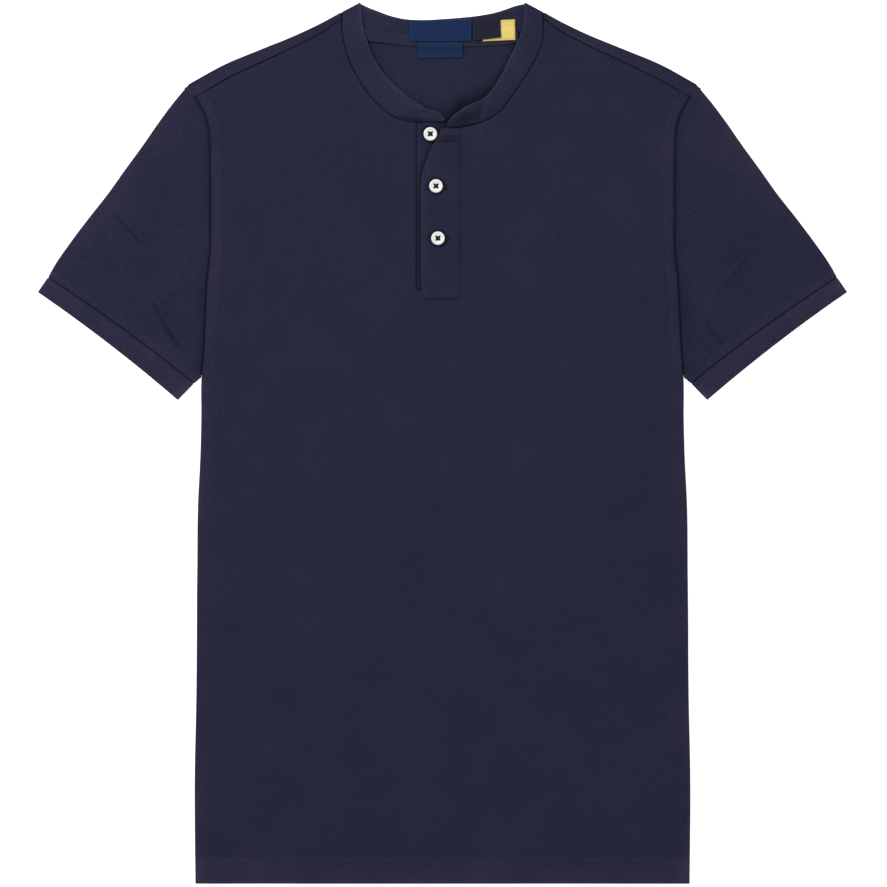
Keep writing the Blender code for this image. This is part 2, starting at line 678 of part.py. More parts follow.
def make_labels(collection):
    """Four labels at the back neck, with nothing on them."""
    for name, corners in LABELS.items():
        material = make_material(name, LABEL_COLOURS[name], LABEL_ROUGHNESS)
        mesh = grid_mesh(name, label_points(corners, LABELS_BENEATH[name]))
        make_cloth(name, [mesh], LABEL_WALL, material, collection)


def button_profile():
    """Half section of a button: dished on top, down its rounded rim and in along its base."""
    top = BUTTON_HEIGHT
    rim = BUTTON_RADIUS - BUTTON_EDGE
    return (
        (0.0, top - BUTTON_DISH_DEPTH),
        (BUTTON_DISH_RADIUS, top - BUTTON_DISH_DEPTH),
        (BUTTON_DISH_RADIUS + BUTTON_EDGE, top),
        (rim, top),
        (BUTTON_RADIUS, top - BUTTON_EDGE),
        (BUTTON_RADIUS, BUTTON_EDGE),
        (rim, 0.0),
        (0.0, 0.0),
    )


def turned_button():
    """A button turned from its profile."""
    profile = button_profile()
    mesh = bpy.data.meshes.new("button blank")
    edges = [(i, i + 1) for i in range(len(profile) - 1)]
    mesh.from_pydata([(radius, 0.0, height) for radius, height in profile], edges, [])
    blank = bpy.data.objects.new("button blank", mesh)
    screw = blank.modifiers.new("turn", "SCREW")
    screw.steps = screw.render_steps = BUTTON_SEGMENTS
    screw.use_merge_vertices = True
    screw.merge_threshold = MERGE_DISTANCE
    return blank


def hole_cutter(x, y, collection):
    """A cylinder that cuts one thread hole."""
    work = bmesh.new()
    bmesh.ops.create_cone(
        work, cap_ends=True, segments=BUTTON_HOLE_SEGMENTS, radius1=BUTTON_HOLE_RADIUS,
        radius2=BUTTON_HOLE_RADIUS, depth=3 * BUTTON_HEIGHT)
    mesh = bpy.data.meshes.new("thread hole")
    work.to_mesh(mesh)
    work.free()
    cutter = bpy.data.objects.new("thread hole", mesh)
    cutter.location = (x, y, 0.0)
    cutter.hide_render = True
    cutter.display_type = "WIRE"
    collection.objects.link(cutter)
    return cutter


def button_mesh(cutters):
    """Mesh of a button with its four thread holes."""
    blank = turned_button()
    cutters.objects.link(blank)
    half = BUTTON_HOLE_SPACING / 2
    for x, y in ((-half, -half), (half, -half), (-half, half), (half, half)):
        cut = blank.modifiers.new("cut", "BOOLEAN")
        cut.object = hole_cutter(x, y, cutters)
    bpy.context.view_layer.update()
    evaluated = blank.evaluated_get(bpy.context.evaluated_depsgraph_get())
    mesh = bpy.data.meshes.new_from_object(evaluated)
    mesh.name = "button"
    mesh.shade_smooth()
    mesh.set_sharp_from_angle(angle=SHARP_ANGLE)
    bpy.data.objects.remove(blank)
    return mesh


def make_buttons(collection, cutters):
    """Three buttons down the placket, each just clear of what it lies on."""
    mesh = button_mesh(cutters)
    mesh.materials.clear()
    mesh.materials.append(make_material("button", BUTTON_WHITE, BUTTON_ROUGHNESS))
    for i in range(len(BUTTONS["x"])):
        x, y, layers = (BUTTONS[column][i] for column in ("x", "y", "layers_below"))
        around_x, around_y = BUTTON_RADIUS * np.array(((-1, 0, 0, 1), (0, -1, 1, 0)))
        corners = swell(x + around_x, y + around_y)
        base = HIGH + layers * OVERLAY + WALL / 2 + LAYER_GAP + corners.max()
        button = bpy.data.objects.new(f"button_{i + 1}", mesh)
        button.location = (x, y, base)
        collection.objects.link(button)


def clear_scene():
    """Remove every object of the scene."""
    for obj in list(bpy.data.objects):
        bpy.data.objects.remove(obj, do_unlink=True)


def new_collection(name):
    """A collection in the scene."""
    collection = bpy.data.collections.new(name)
    bpy.context.scene.collection.children.link(collection)
    return collection


def build_shirt():
    """Make every piece of the shirt."""
    clear_scene()
    shirt = new_collection("henley_shirt")
    cutters = new_collection("cutters")
    knit = make_material("navy knit", NAVY, KNIT_ROUGHNESS)
    front_grid, front_keep = front_points()
    make_back(knit, shirt)
    make_cloth("front", [grid_mesh("front", front_grid, front_keep)], WALL, knit, shirt)
    make_sleeves(knit, shirt)
    make_cloth("neckband", [grid_mesh("band", neckband_points())], WALL, knit, shirt)
    make_cloth("placket_under", [grid_mesh("stand", placket_under_points())], WALL, knit, shirt)
    make_cloth("placket_top", [grid_mesh("strip", placket_top_points())], WALL, knit, shirt)
    tape = make_material("neck tape", NAVY_TAPE, TAPE_ROUGHNESS)
    make_cloth("neck_tape", [grid_mesh("tape", tape_points())], LABEL_WALL, tape, shirt)
    make_labels(shirt)
    make_buttons(shirt, cutters)


build_shirt()
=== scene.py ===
"""Looks of a short-sleeved henley shirt that lies flat, face up, with its neck towards +Y.

Lengths are in metres. Each piece of cloth is a middle surface worked out on a grid, which gets
a skin on either side. The skins meet in a rounded edge along the piece's border. The plan of a
piece repeats the tables of the solids. Its height adds what the sewing and the wearing of cloth
do: felled seams, turned hems, stitch grooves, creases and a soft unevenness.
"""

import math

import bmesh
import bpy
import numpy as np
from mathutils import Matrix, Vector


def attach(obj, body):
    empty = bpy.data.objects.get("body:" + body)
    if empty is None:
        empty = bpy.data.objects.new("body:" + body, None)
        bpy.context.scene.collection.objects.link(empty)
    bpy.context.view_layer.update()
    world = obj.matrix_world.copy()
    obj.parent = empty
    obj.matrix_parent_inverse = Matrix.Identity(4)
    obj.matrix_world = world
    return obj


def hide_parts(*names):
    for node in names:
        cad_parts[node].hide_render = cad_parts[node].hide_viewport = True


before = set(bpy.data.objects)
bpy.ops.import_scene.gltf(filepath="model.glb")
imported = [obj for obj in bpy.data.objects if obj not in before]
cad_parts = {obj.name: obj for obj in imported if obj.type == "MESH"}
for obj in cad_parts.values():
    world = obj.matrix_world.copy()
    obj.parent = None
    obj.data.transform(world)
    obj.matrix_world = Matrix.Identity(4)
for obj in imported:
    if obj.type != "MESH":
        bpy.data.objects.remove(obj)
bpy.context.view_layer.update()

MM = 0.001

# ---------------------------------------------------------------- sizes of the solids
WALL = 1.1 * MM
LABEL_WALL = 1.0 * MM
SEAM_GAP = 0.35 * MM
LAYER_GAP = 0.3 * MM
LOW = WALL / 2
HIGH = 2.35 * MM
OVERLAY = WALL + LAYER_GAP
FOLD_REACH = (HIGH - LOW) / 2
FOLD_INSET = FOLD_REACH + WALL / 2
LABEL_LOW = WALL + LAYER_GAP + LABEL_WALL / 2
LABEL_OVERLAY = LABEL_WALL + LAYER_GAP
ARMHOLE_GAP = 0.4 * MM
SLIT_LEFT, SLIT_RIGHT, SLIT_END = -0.0223, 0.0080, 0.1285
PLACKET_RIGHT = 0.0147
BUTTON_RADIUS, BUTTON_HEIGHT = 5.7 * MM, 2.3 * MM


def table(columns, rows):
    """Named columns of a short table, each as an array."""
    return dict(zip(columns.split(), np.array(rows, dtype=float).T))


BODY_EDGE = table("height half_width", (
    (-0.3700, 0.2073), (-0.2830, 0.2079), (-0.2159, 0.2066), (-0.1150, 0.2058), (-0.0479, 0.2050),
    (-0.0143, 0.2033), (0.0193, 0.2024), (0.0554, 0.2022), (0.0810, 0.2002), (0.1117, 0.1988),
    (0.1394, 0.1972), (0.1579, 0.1951), (0.1957, 0.1946), (0.2377, 0.1949), (0.2587, 0.1955),
    (0.2692, 0.1970), (0.2839, 0.2033), (0.2906, 0.2075),
))
HEM, SHOULDER_Y = BODY_EDGE["height"][0], BODY_EDGE["height"][-1]
NECK_SHARE = 0.60
ARMHOLE_PULL = 3
SHOULDER = table("outline_x outline_y seam_x seam_y", (
    (0.0853, 0.3616, 0.0853, 0.3562), (0.0966, 0.3553, 0.0953, 0.3484),
    (0.1220, 0.3430, 0.1190, 0.3355), (0.1520, 0.3307, 0.1480, 0.3217),
    (0.1830, 0.3178, 0.1790, 0.3070), (0.2130, 0.3014, 0.2075, 0.2906),
))
PEAK = np.array((0.0693, 0.3700))
BAND_FRONT_LEFT = table("seam_x seam_y free_x free_y seam_z free_z", (
    (0.0055, 0.2646, 0.0040, 0.2676, 0.00375, 0.0052),
    (0.0080, 0.2646, 0.0071, 0.2726, 0.00375, 0.0072),
    (0.0135, 0.2653, 0.0135, 0.2776, 0.00375, 0.0086),
    (0.0206, 0.2664, 0.0197, 0.2821, 0.00340, 0.0084),
    (0.0279, 0.2680, 0.0269, 0.2853, 0.00300, 0.0070),
    (0.0407, 0.2730, 0.0353, 0.2895, 0.00260, 0.0056),
    (0.0495, 0.2800, 0.0416, 0.2965, 0.00240, 0.0048),
    (0.0581, 0.2915, 0.0470, 0.3047, HIGH, 0.0045),
    (0.0647, 0.3007, 0.0512, 0.3121, HIGH, 0.0043),
    (0.0710, 0.3102, 0.0554, 0.3209, HIGH, 0.0042),
    (0.0783, 0.3234, 0.0601, 0.3305, HIGH, 0.0041),
    (0.0827, 0.3335, 0.0638, 0.3385, HIGH, 0.0040),
    (0.0846, 0.3452, 0.0672, 0.3494, HIGH, 0.0034),
))
BAND_FRONT_RIGHT = table("seam_x seam_y free_x free_y seam_z free_z", (
    (-0.0843, 0.3452, -0.0664, 0.3494, HIGH, 0.0034),
    (-0.0823, 0.3343, -0.0630, 0.3373, HIGH, 0.0040),
    (-0.0785, 0.3217, -0.0580, 0.3242, HIGH, 0.0041),
    (-0.0729, 0.3102, -0.0517, 0.3133, HIGH, 0.0042),
    (-0.0659, 0.2987, -0.0445, 0.3049, HIGH, 0.0042),
    (-0.0596, 0.2902, -0.0378, 0.2978, HIGH, 0.0043),
    (-0.0525, 0.2831, -0.0307, 0.2919, HIGH, 0.0044),
    (-0.0441, 0.2759, -0.0239, 0.2869, HIGH, 0.0047),
    (-0.0340, 0.2713, -0.0181, 0.2831, HIGH, 0.0051),
    (SLIT_LEFT, 0.2697, -0.0122, 0.2797, HIGH, 0.0055),
    (-0.0139, 0.2694, -0.0071, 0.2786, HIGH, 0.0056),
    (-0.0055, 0.2693, -0.0017, 0.2764, HIGH, 0.0052),
    (0.0008, 0.2693, 0.0021, 0.2717, HIGH, 0.0040),
))
BAND_BACK = table("seam_x seam_y free_x free_y", (
    (0.0806, 0.3515, 0.0613, 0.3671), (0.0739, 0.3461, 0.0538, 0.3645),
    (0.0638, 0.3411, 0.0462, 0.3620), (0.0470, 0.3386, 0.0336, 0.3594),
    (0.0235, 0.3378, 0.0168, 0.3574), (0.0000, 0.3376, 0.0000, 0.3561),
    (-0.0235, 0.3378, -0.0168, 0.3553), (-0.0470, 0.3390, -0.0336, 0.3564),
    (-0.0638, 0.3415, -0.0462, 0.3596), (-0.0739, 0.3461, -0.0538, 0.3625),
    (-0.0806, 0.3515, -0.0613, 0.3654),
))
SLEEVE_TOP = table("x y", (
    (0.2130, 0.3014), (0.2171, 0.2965), (0.2255, 0.2864), (0.2381, 0.2696), (0.2520, 0.2495),
    (0.2667, 0.2293), (0.2810, 0.2092), (0.2969, 0.1890), (0.3121, 0.1688), (0.3259, 0.1487),
    (0.3312, 0.1392),
))
UNDERARM = np.array((0.2026, 0.0554))
CUFF_SEAM_LOW = np.array((0.2086, 0.0501))
CUFF_CORNER_HIGH = np.array((0.3398, 0.1268))
CUFF_CORNER_LOW = np.array((0.2222, 0.0361))
CUFF_BOW = 2.0 * MM
PLACKET_EDGE = table("y x lift", (
    (0.2639, -0.0010, 0.0008), (0.2595, -0.0025, 0.0008), (0.2545, -0.0050, 0.0007),
    (0.2491, -0.0085, 0.0006), (0.2402, -0.0123, 0.0004), (0.2318, -0.0153, 0.0002),
    (0.2245, -0.0173, 0.0001), (0.2077, -0.0181, 0.0), (0.1717, -0.0181, 0.0),
    (0.1310, -0.0176, 0.0), (0.1213, -0.0166, 0.0),
))
STAND_TOP = 0.2692
BUTTONS = table("x y layers_below", ((-0.0102, 0.2593, 0), (-0.0054, 0.2155, 1), (-0.0038, 0.1717, 1)))
TAPE = table("x y", (
    (-0.0660, 0.3430), (-0.0500, 0.3408), (-0.0281, 0.3385), (0.0000, 0.3376), (0.0281, 0.3380),
    (0.0500, 0.3393), (0.0640, 0.3411),
))
TAPE_WIDTH, TAPE_RAMP = 10.0 * MM, 4.0 * MM
LABELS = {
    "label_main": table("left_x left_y right_x right_y", (
        (-0.0277, 0.3548, 0.0248, 0.3558), (-0.0275, 0.3368, 0.0246, 0.3370))),
    "label_small": table("left_x left_y right_x right_y", (
        (-0.0213, 0.3363, 0.0172, 0.3365), (-0.0207, 0.3228, 0.0170, 0.3236))),
    "label_size": table("left_x left_y right_x right_y", (
        (0.0340, 0.3545, 0.0608, 0.3556), (0.0336, 0.3371, 0.0612, 0.3383))),
    "label_care": table("left_x left_y right_x right_y", (
        (0.0252, 0.3560, 0.0484, 0.3578), (0.0252, 0.3375, 0.0492, 0.3401))),
}
LABELS_BENEATH = {"label_main": 0, "label_small": 0, "label_size": 0, "label_care": 1}
SWELLS = table("from_x from_y to_x to_y height width", (
    (-0.0900, 0.1500, 0.0900, 0.1500, 0.0006, 0.0650),
    (-0.1000, -0.1500, 0.1000, -0.1500, 0.0007, 0.1000),
    (0.2450, 0.2300, 0.2800, 0.1500, 0.0010, 0.0240),
    (-0.2450, 0.2300, -0.2800, 0.1500, 0.0010, 0.0240),
    (-0.2200, 0.2300, -0.2620, 0.1850, 0.0010, 0.0110),
    (-0.2080, 0.1500, -0.2450, 0.1100, 0.0009, 0.0110),
    (0.2120, 0.1900, 0.2600, 0.1350, 0.0009, 0.0120),
    (0.1850, 0.1750, 0.1350, 0.2450, 0.0006, 0.0180),
    (-0.1850, 0.1750, -0.1350, 0.2450, 0.0006, 0.0180),
))

# ---------------------------------------------------------------- sewing and creases
STEP = 3.7 * MM  # between the lines of a grid, away from its edges
SLEEVE_STEP = 1.8 * MM
ROUND = 0.9 * MM  # over which a cut or folded edge rounds off
FADE_AND_HIGHLIGHT_REACH = 7.0 * MM  # over which the paling and painted highlight of an edge fall off
SHADE_REACH = 1.0 * MM  # over which the painted shade of a seam does
ARMHOLE_SHADE_REACH = 1.4 * MM
RIM_SHADE_REACH = 1.4 * MM
LINE_SHADE = 0.65 / MM  # how much painted shade a pressed line gets for its depth
PLAIN = np.array((0.0,))
# Where the lines of a grid lie inside an edge, closest where it rounds off
EDGE = MM * np.array((
    0, 0.03, 0.12, 0.28, 0.5, 0.8, 1.2, 1.7, 2.3, 3.2, 4.6, 6.0, 6.9, 7.5, 8.1, 8.8, 10.2, 13.0))
SHORT_EDGE, NEAR_EDGE, LABEL_EDGE = EDGE[:11], EDGE[:9], EDGE[:8]
HEM_EDGE = MM * np.array((
    0, 0.03, 0.12, 0.28, 0.5, 0.8, 1.4, 2.6, 5, 8, 11, 14, 17, 19, 20.0, 20.6, 21.2, 21.8, 22.6, 24.5))
HEM_DEPTH = 21.0 * MM
# Lengths along seams and across pieces, which say how many lines a grid has
SHOULDER_LENGTH, ARMHOLE_RISE = 0.142, 0.165
FRONT_NECK_LENGTH, BACK_NECK_LENGTH = 0.125, 0.178
SLEEVE_LENGTH, SLEEVE_WIDTH, CUFF_WIDTH = 0.200, 0.262, 0.0165
BAND_FRONT_LENGTH, BAND_BACK_LENGTH, BAND_WIDTH = 0.135, 0.165, 0.019
STRIP_WIDTH, STAND_WIDTH, TAPE_LENGTH = 0.0328, 0.0296, 0.131
FELL_WIDTH = 8.2 * MM  # cloth turned under beside an armhole, and stitched down
FELL_HEIGHT = 0.38 * MM
FELL_STEP = 1.6 * MM  # over which a turned edge steps down
GROOVE_WIDTH = 0.55 * MM
GROOVE_DEPTH, UNDER_GROOVE, FINE_GROOVE = 0.22 * MM, 0.30 * MM, 0.15 * MM
SEAM_DIP, SEAM_DIP_REACH = 0.55 * MM, 1.2 * MM
SIDE_ROLL = 1.7 * MM  # how far inside its side seam a layer starts to turn to the other
FRONT_SIDE, BACK_SIDE = 1.62 * MM, 1.28 * MM  # how high the two layers meet there
# From an edge or a seam to the line stitched beside it
FELL_STITCH, HEM_STITCH, NECK_STITCH, TAPE_STITCH = 1.4 * MM, 1.0 * MM, 2.2 * MM, 1.3 * MM
SHOULDER_STITCHES = (1.6 * MM, 5.6 * MM)
STAND_STITCH, STAND_TOP_STITCH = 1.2 * MM, 2.4 * MM
CUFF_STITCH = 4.6 * MM
STITCH_LENGTH, STITCH_GAP, STITCH_RADIUS = 2.5 * MM, 0.9 * MM, 0.24 * MM

# Creases of the upper layer, each from one point to another: ridges, and troughs where negative
CREASES = table("from_x from_y to_x to_y height width", (
    (-0.2750, 0.1940, -0.2530, 0.1700, 0.0014, 0.0026),
    (-0.2720, 0.1890, -0.2490, 0.1640, -0.0010, 0.0030),
    (-0.2510, 0.1690, -0.2360, 0.1450, 0.0009, 0.0036),
    (-0.2390, 0.1170, -0.2180, 0.0800, 0.0010, 0.0036),
    (-0.2300, 0.1150, -0.2130, 0.0850, -0.0008, 0.0034),
    (-0.2250, 0.0960, -0.2120, 0.0700, 0.0009, 0.0040),
    (-0.2600, 0.1300, -0.2350, 0.1130, 0.0006, 0.0060),
    (-0.3000, 0.1750, -0.2800, 0.1550, 0.0006, 0.0080),
    (-0.2150, 0.2350, -0.2300, 0.2050, -0.0006, 0.0080),
    (0.2600, 0.1640, 0.2290, 0.1250, 0.0009, 0.0036),
    (0.2560, 0.1660, 0.2260, 0.1290, -0.0008, 0.0042),
    (0.2230, 0.1100, 0.2360, 0.0880, 0.0009, 0.0030),
    (0.2160, 0.0930, 0.2300, 0.0760, 0.0009, 0.0032),
    (0.2420, 0.2050, 0.2700, 0.1800, 0.0008, 0.0070),
    (0.2290, 0.2300, 0.2450, 0.2150, -0.0006, 0.0060),
    (0.2850, 0.1850, 0.3000, 0.1560, 0.0006, 0.0070),
    (-0.0800, 0.2300, -0.0740, 0.1450, 0.0008, 0.0120),
    (0.0970, 0.2400, 0.0930, 0.1400, 0.0006, 0.0120),
    (0.0230, 0.2420, 0.0420, 0.2220, -0.0009, 0.0090),
    (0.0450, 0.2500, 0.0720, 0.2330, 0.0006, 0.0080),
    (-0.1050, 0.2900, -0.0800, 0.2860, 0.0006, 0.0040),
    (-0.1020, 0.2830, -0.0850, 0.2800, -0.0004, 0.0036),
    (-0.1650, 0.1150, -0.1900, 0.0700, -0.0009, 0.0090),
    (-0.1500, 0.0950, -0.1850, 0.0480, 0.0009, 0.0100),
    (0.1630, 0.1200, 0.1900, 0.0680, -0.0009, 0.0090),
    (0.1480, 0.0900, 0.1830, 0.0400, 0.0009, 0.0100),
    (-0.1500, 0.0000, -0.1560, -0.1300, 0.0008, 0.0160),
    (-0.1720, -0.0600, -0.1760, -0.2100, -0.0008, 0.0140),
    (0.1560, -0.0300, 0.1600, -0.1500, 0.0006, 0.0160),
    (0.0480, 0.0400, 0.0420, -0.0900, -0.0004, 0.0180),
    (-0.0350, -0.0300, -0.0420, -0.1600, 0.0006, 0.0160),
    (0.0900, -0.1500, 0.0960, -0.2700, 0.0008, 0.0150),
    (-0.0900, -0.2200, -0.0860, -0.3300, 0.0008, 0.0130),
    (0.0150, -0.2500, 0.0200, -0.3400, -0.0006, 0.0120),
    (0.1500, -0.2700, 0.1560, -0.3480, 0.0008, 0.0110),
    (-0.1560, -0.2900, -0.1600, -0.3500, -0.0006, 0.0100),
    (-0.1300, 0.3050, -0.1000, 0.3180, 0.0004, 0.0080),
    (0.1250, 0.2980, 0.1050, 0.3130, 0.0004, 0.0080),
))
# Softer creases of the back and the sleeves' undersides, which lift them off the surface
UNDER_CREASES = table("from_x from_y to_x to_y height width", (
    (-0.1250, 0.2350, -0.0800, 0.1500, 0.00040, 0.0060),
    (-0.1600, 0.1350, -0.1150, 0.0850, 0.00035, 0.0050),
    (0.0850, 0.2450, 0.1180, 0.1700, 0.00040, 0.0070),
    (0.1400, 0.1450, 0.1180, 0.0700, 0.00035, 0.0055),
    (-0.0550, 0.1150, -0.0250, 0.0450, 0.00030, 0.0080),
    (-0.0900, -0.0700, -0.0450, -0.2100, 0.00045, 0.0070),
    (0.0700, -0.0900, 0.0930, -0.2050, 0.00045, 0.0080),
    (0.1350, -0.1500, 0.1480, -0.2500, 0.00030, 0.0060),
    (-0.1500, -0.1300, -0.1420, -0.2600, 0.00035, 0.0065),
    (-0.0600, -0.2500, -0.0300, -0.3250, 0.00035, 0.0060),
    (0.2480, 0.2250, 0.2700, 0.1800, 0.00040, 0.0040),
    (0.2620, 0.1650, 0.2520, 0.1250, 0.00035, 0.0036),
    (0.2150, 0.2050, 0.2250, 0.1720, 0.00030, 0.0036),
    (-0.2520, 0.2200, -0.2760, 0.1720, 0.00040, 0.0042),
    (-0.2330, 0.1800, -0.2560, 0.1380, 0.00035, 0.0036),
    (-0.2090, 0.1750, -0.2230, 0.1400, 0.00030, 0.0036),
))
# Thin pressed lines across the sleeves: shallow troughs, painted darker as shade than the cloth beside them
PRESSED_LINES = table("from_x from_y to_x to_y height width", (
    (-0.2760, 0.1932, -0.2550, 0.1697, -0.0007, 0.0016),
    (-0.2738, 0.1951, -0.2528, 0.1716, 0.0003, 0.0016),
    (-0.2550, 0.1697, -0.2370, 0.1440, -0.0003, 0.0018),
    (-0.2420, 0.1160, -0.2227, 0.0811, -0.0006, 0.0018),
    (-0.2330, 0.0960, -0.2170, 0.0790, -0.0004, 0.0020),
    (0.2596, 0.1611, 0.2302, 0.1233, -0.0004, 0.0018),
    (0.2218, 0.1001, 0.2344, 0.0833, -0.0006, 0.0016),
    (0.2160, 0.0880, 0.2290, 0.0740, -0.0004, 0.0018),
    (0.2880, 0.1230, 0.2960, 0.1130, -0.0003, 0.0016),
))
# Painted shade, darker colour where shade falls: on the back inside the neck, then on the sleeves
# at the underarms, and on the neckband's raised ends
NECK_SHADE = table("from_x from_y to_x to_y height width", (
    (0.0050, 0.2740, 0.0160, 0.2830, -0.60, 0.0065),
    (0.0160, 0.2830, 0.0330, 0.2930, -0.50, 0.0070),
    (0.0360, 0.2950, 0.0480, 0.3110, -0.25, 0.0050),
    (-0.0180, 0.2860, 0.0000, 0.2790, -0.25, 0.0045),
))
UNDERARM_SHADE = table("from_x from_y to_x to_y height width", (
    (0.2040, 0.0620, 0.2120, 0.0560, -0.55, 0.0070),
    (0.2030, 0.1300, 0.2045, 0.0800, -0.15, 0.0080),
))
BAND_SHADE = table("from_x from_y to_x to_y height width", (
    (0.0080, 0.2685, 0.0200, 0.2720, -0.45, 0.0060),
    (0.0200, 0.2720, 0.0370, 0.2790, -0.40, 0.0075),
    (-0.0350, 0.2740, -0.0190, 0.2715, -0.60, 0.0022),
    (-0.0150, 0.2780, 0.0010, 0.2750, -0.50, 0.0022),
))
# Slow waves over all the cloth: how many turn in a metre each way, where they start, how high
WAVES = table("turns_x turns_y start height", (
    (7.3, 3.1, 0.4, 0.00016), (-4.1, 8.7, 2.1, 0.00014), (12.7, 5.3, 4.0, 0.00009),
    (3.7, -13.9, 1.3, 0.00009), (19.1, 11.7, 5.2, 0.00005), (-15.3, 21.1, 3.3, 0.00005),
))


# ---------------------------------------------------------------- curves and distances
def smooth_curve(at, knots, values):
    """Cubic through the knots, each with the slope between its two neighbours."""
    slopes = np.gradient(values, knots)
    i = np.clip(np.searchsorted(knots, at, side="right") - 1, 0, len(knots) - 2)
    span = knots[i + 1] - knots[i]
    t = np.clip((at - knots[i]) / span, 0.0, 1.0)
    start = values[i] * (1 + 2 * t) * (1 - t) ** 2 + slopes[i] * span * t * (1 - t) ** 2
    end = values[i + 1] * (3 - 2 * t) * t ** 2 - slopes[i + 1] * span * (1 - t) * t ** 2
    return start + end


def pairs(x, y):
    """Points in the plane from their two coordinates."""
    return np.stack(np.broadcast_arrays(x, y), axis=-1).astype(float)


def smoothstep(t):
    """From 0 to 1 with no slope at either end: three t squared less two t cubed."""
    t = np.clip(t, 0.0, 1.0)
    return t * t * (3 - 2 * t)


def distances(path):
    """Distance along a path at each of its points."""
    steps = np.linalg.norm(np.diff(path, axis=0), axis=-1)
    return np.concatenate((np.zeros_like(steps[:1]), np.cumsum(steps, axis=0)))


def lengths_along(path):
    """Distance along a path at each of its points, as a fraction of the whole."""
    along = distances(path)
    return along / along[-1]


def resample(path, fractions):
    """Points at the given fractions of a path's length, on the cubic through its points."""
    along = lengths_along(path)
    return np.stack([smooth_curve(fractions, along, path[:, i]) for i in range(path.shape[1])], axis=-1)


def offset_path(path, distance):
    """The path moved sideways, to the right of its direction."""
    steps = np.diff(path, axis=0)
    steps /= np.linalg.norm(steps, axis=1)[:, None]
    sides = np.stack((steps[:, 1], -steps[:, 0]), axis=1)
    joined = np.vstack((sides[:1], sides[:-1] + sides[1:], sides[-1:]))
    joined /= np.linalg.norm(joined, axis=1)[:, None]
    reach = np.einsum("ij,ij->i", joined, np.vstack((sides[:1], sides)))
    return path + joined * (distance / reach)[:, None]


def unit(vectors):
    """Vectors of the same directions, one metre long."""
    return vectors / np.linalg.norm(vectors, axis=-1, keepdims=True)


def mirrored(points):
    """The same points on the wearer's other side."""
    return points * np.array((-1.0, 1.0, 1.0)[:points.shape[-1]])


def spaced(length, start=PLAIN, end=PLAIN, step=STEP):
    """Fractions of a length: at the given places from either end, and about a step apart between."""
    count = max(2, int(round((length - start[-1] - end[-1]) / step)) + 1)
    middle = np.linspace(start[-1], length - end[-1], count)
    return np.concatenate((start[:-1], middle, (length - end[:-1])[::-1])) / length


def distance_to(path, x, y):
    """Distance in plan from each point to the nearest place on a path."""
    points = pairs(x, y)
    flat = points.reshape(-1, 1, 2)
    start, step = path[:-1], np.diff(path, axis=0)
    share = np.clip(((flat - start) * step).sum(-1) / (step ** 2).sum(-1), 0, 1)
    gap = np.linalg.norm(flat - start - share[..., None] * step, axis=-1)
    return gap.min(axis=1).reshape(points.shape[:-1])


def fill_edges(bottom, top, left, right, pull=1):
    """Fill the space inside four edges: blend each facing pair and take the corners away once."""
    u = (lengths_along(bottom) ** pull)[None, :, None]
    v = lengths_along(left)[:, None, None]
    across = (1 - v) * bottom[None] + v * top[None]
    upwards = (1 - u) * left[:, None] + u * right[:, None]
    low = (1 - u) * bottom[0] + u * bottom[-1]
    high = (1 - u) * top[0] + u * top[-1]
    return across + upwards - (1 - v) * low - v * high


# ---------------------------------------------------------------- seams of the shirt, in plan
def body_half_width(height):
    """Distance from the centre line to the side seam or armhole edge."""
    return smooth_curve(height, BODY_EDGE["height"], BODY_EDGE["half_width"])


def armhole_path(heights):
    """The body's armhole edge at the given heights along Y."""
    return pairs(body_half_width(heights), heights)


def columns_of(sections, first, second):
    """Two columns of a table as points in the plane."""
    return pairs(sections[first], sections[second])


SHOULDER_SEAM = columns_of(SHOULDER, "seam_x", "seam_y")
SHOULDER_OUTLINE = columns_of(SHOULDER, "outline_x", "outline_y")
FINE = np.linspace(0, 1, 81)
LEFT_NECK = resample(columns_of(BAND_FRONT_LEFT, "seam_x", "seam_y"), FINE)
RIGHT_NECK = resample(columns_of(BAND_FRONT_RIGHT, "seam_x", "seam_y"), FINE)
BACK_NECK = resample(columns_of(BAND_BACK, "seam_x", "seam_y"), FINE)
SHOULDER_LINE = resample(SHOULDER_SEAM, FINE)
LEFT_FREE_EDGE = resample(columns_of(BAND_FRONT_LEFT, "free_x", "free_y"), FINE)
ARMHOLE = armhole_path(np.linspace(UNDERARM[1], SHOULDER_Y, 61))


# ---------------------------------------------------------------- heights of the cloth
def ridges(x, y, rows, tapered=False):
    """Sum of ridges: each is its height times exp of less (distance from its line / width) squared.
    Where they are tapered, that is times 4 place (1 - place), for a place from 0 to 1 along it."""
    lift = np.zeros(np.broadcast(x, y).shape)
    for from_x, from_y, to_x, to_y, height, width in zip(*rows.values()):
        along = np.array((to_x - from_x, to_y - from_y))
        place = np.clip(((x - from_x) * along[0] + (y - from_y) * along[1]) / (along @ along), 0, 1)
        distance = np.hypot(x - from_x - place * along[0], y - from_y - place * along[1])
        taper = 4 * place * (1 - place) if tapered else 1
        lift += taper * height * np.exp(-(distance / width) ** 2)
    return lift


def soft_creases(x, y):
    """Tapered ridges of the under layers, bent by a sine."""
    bend = 5 * MM * np.sin(2 * np.pi * (6.5 * y + 3.1 * x) + 0.8)
    return ridges(x + bend, y, UNDER_CREASES, tapered=True)


def waves(x, y):
    """Sum of slow sine waves that cross the cloth at unlike angles."""
    lift = np.zeros(np.broadcast(x, y).shape)
    for turns_x, turns_y, start, height in zip(*WAVES.values()):
        lift += height * np.sin(2 * np.pi * (turns_x * x + turns_y * y) + start)
    return lift


def groove(distance, depth=GROOVE_DEPTH):
    """A stitched line: less the depth times exp of less (distance / groove width) squared."""
    return -depth * np.exp(-(distance / GROOVE_WIDTH) ** 2)


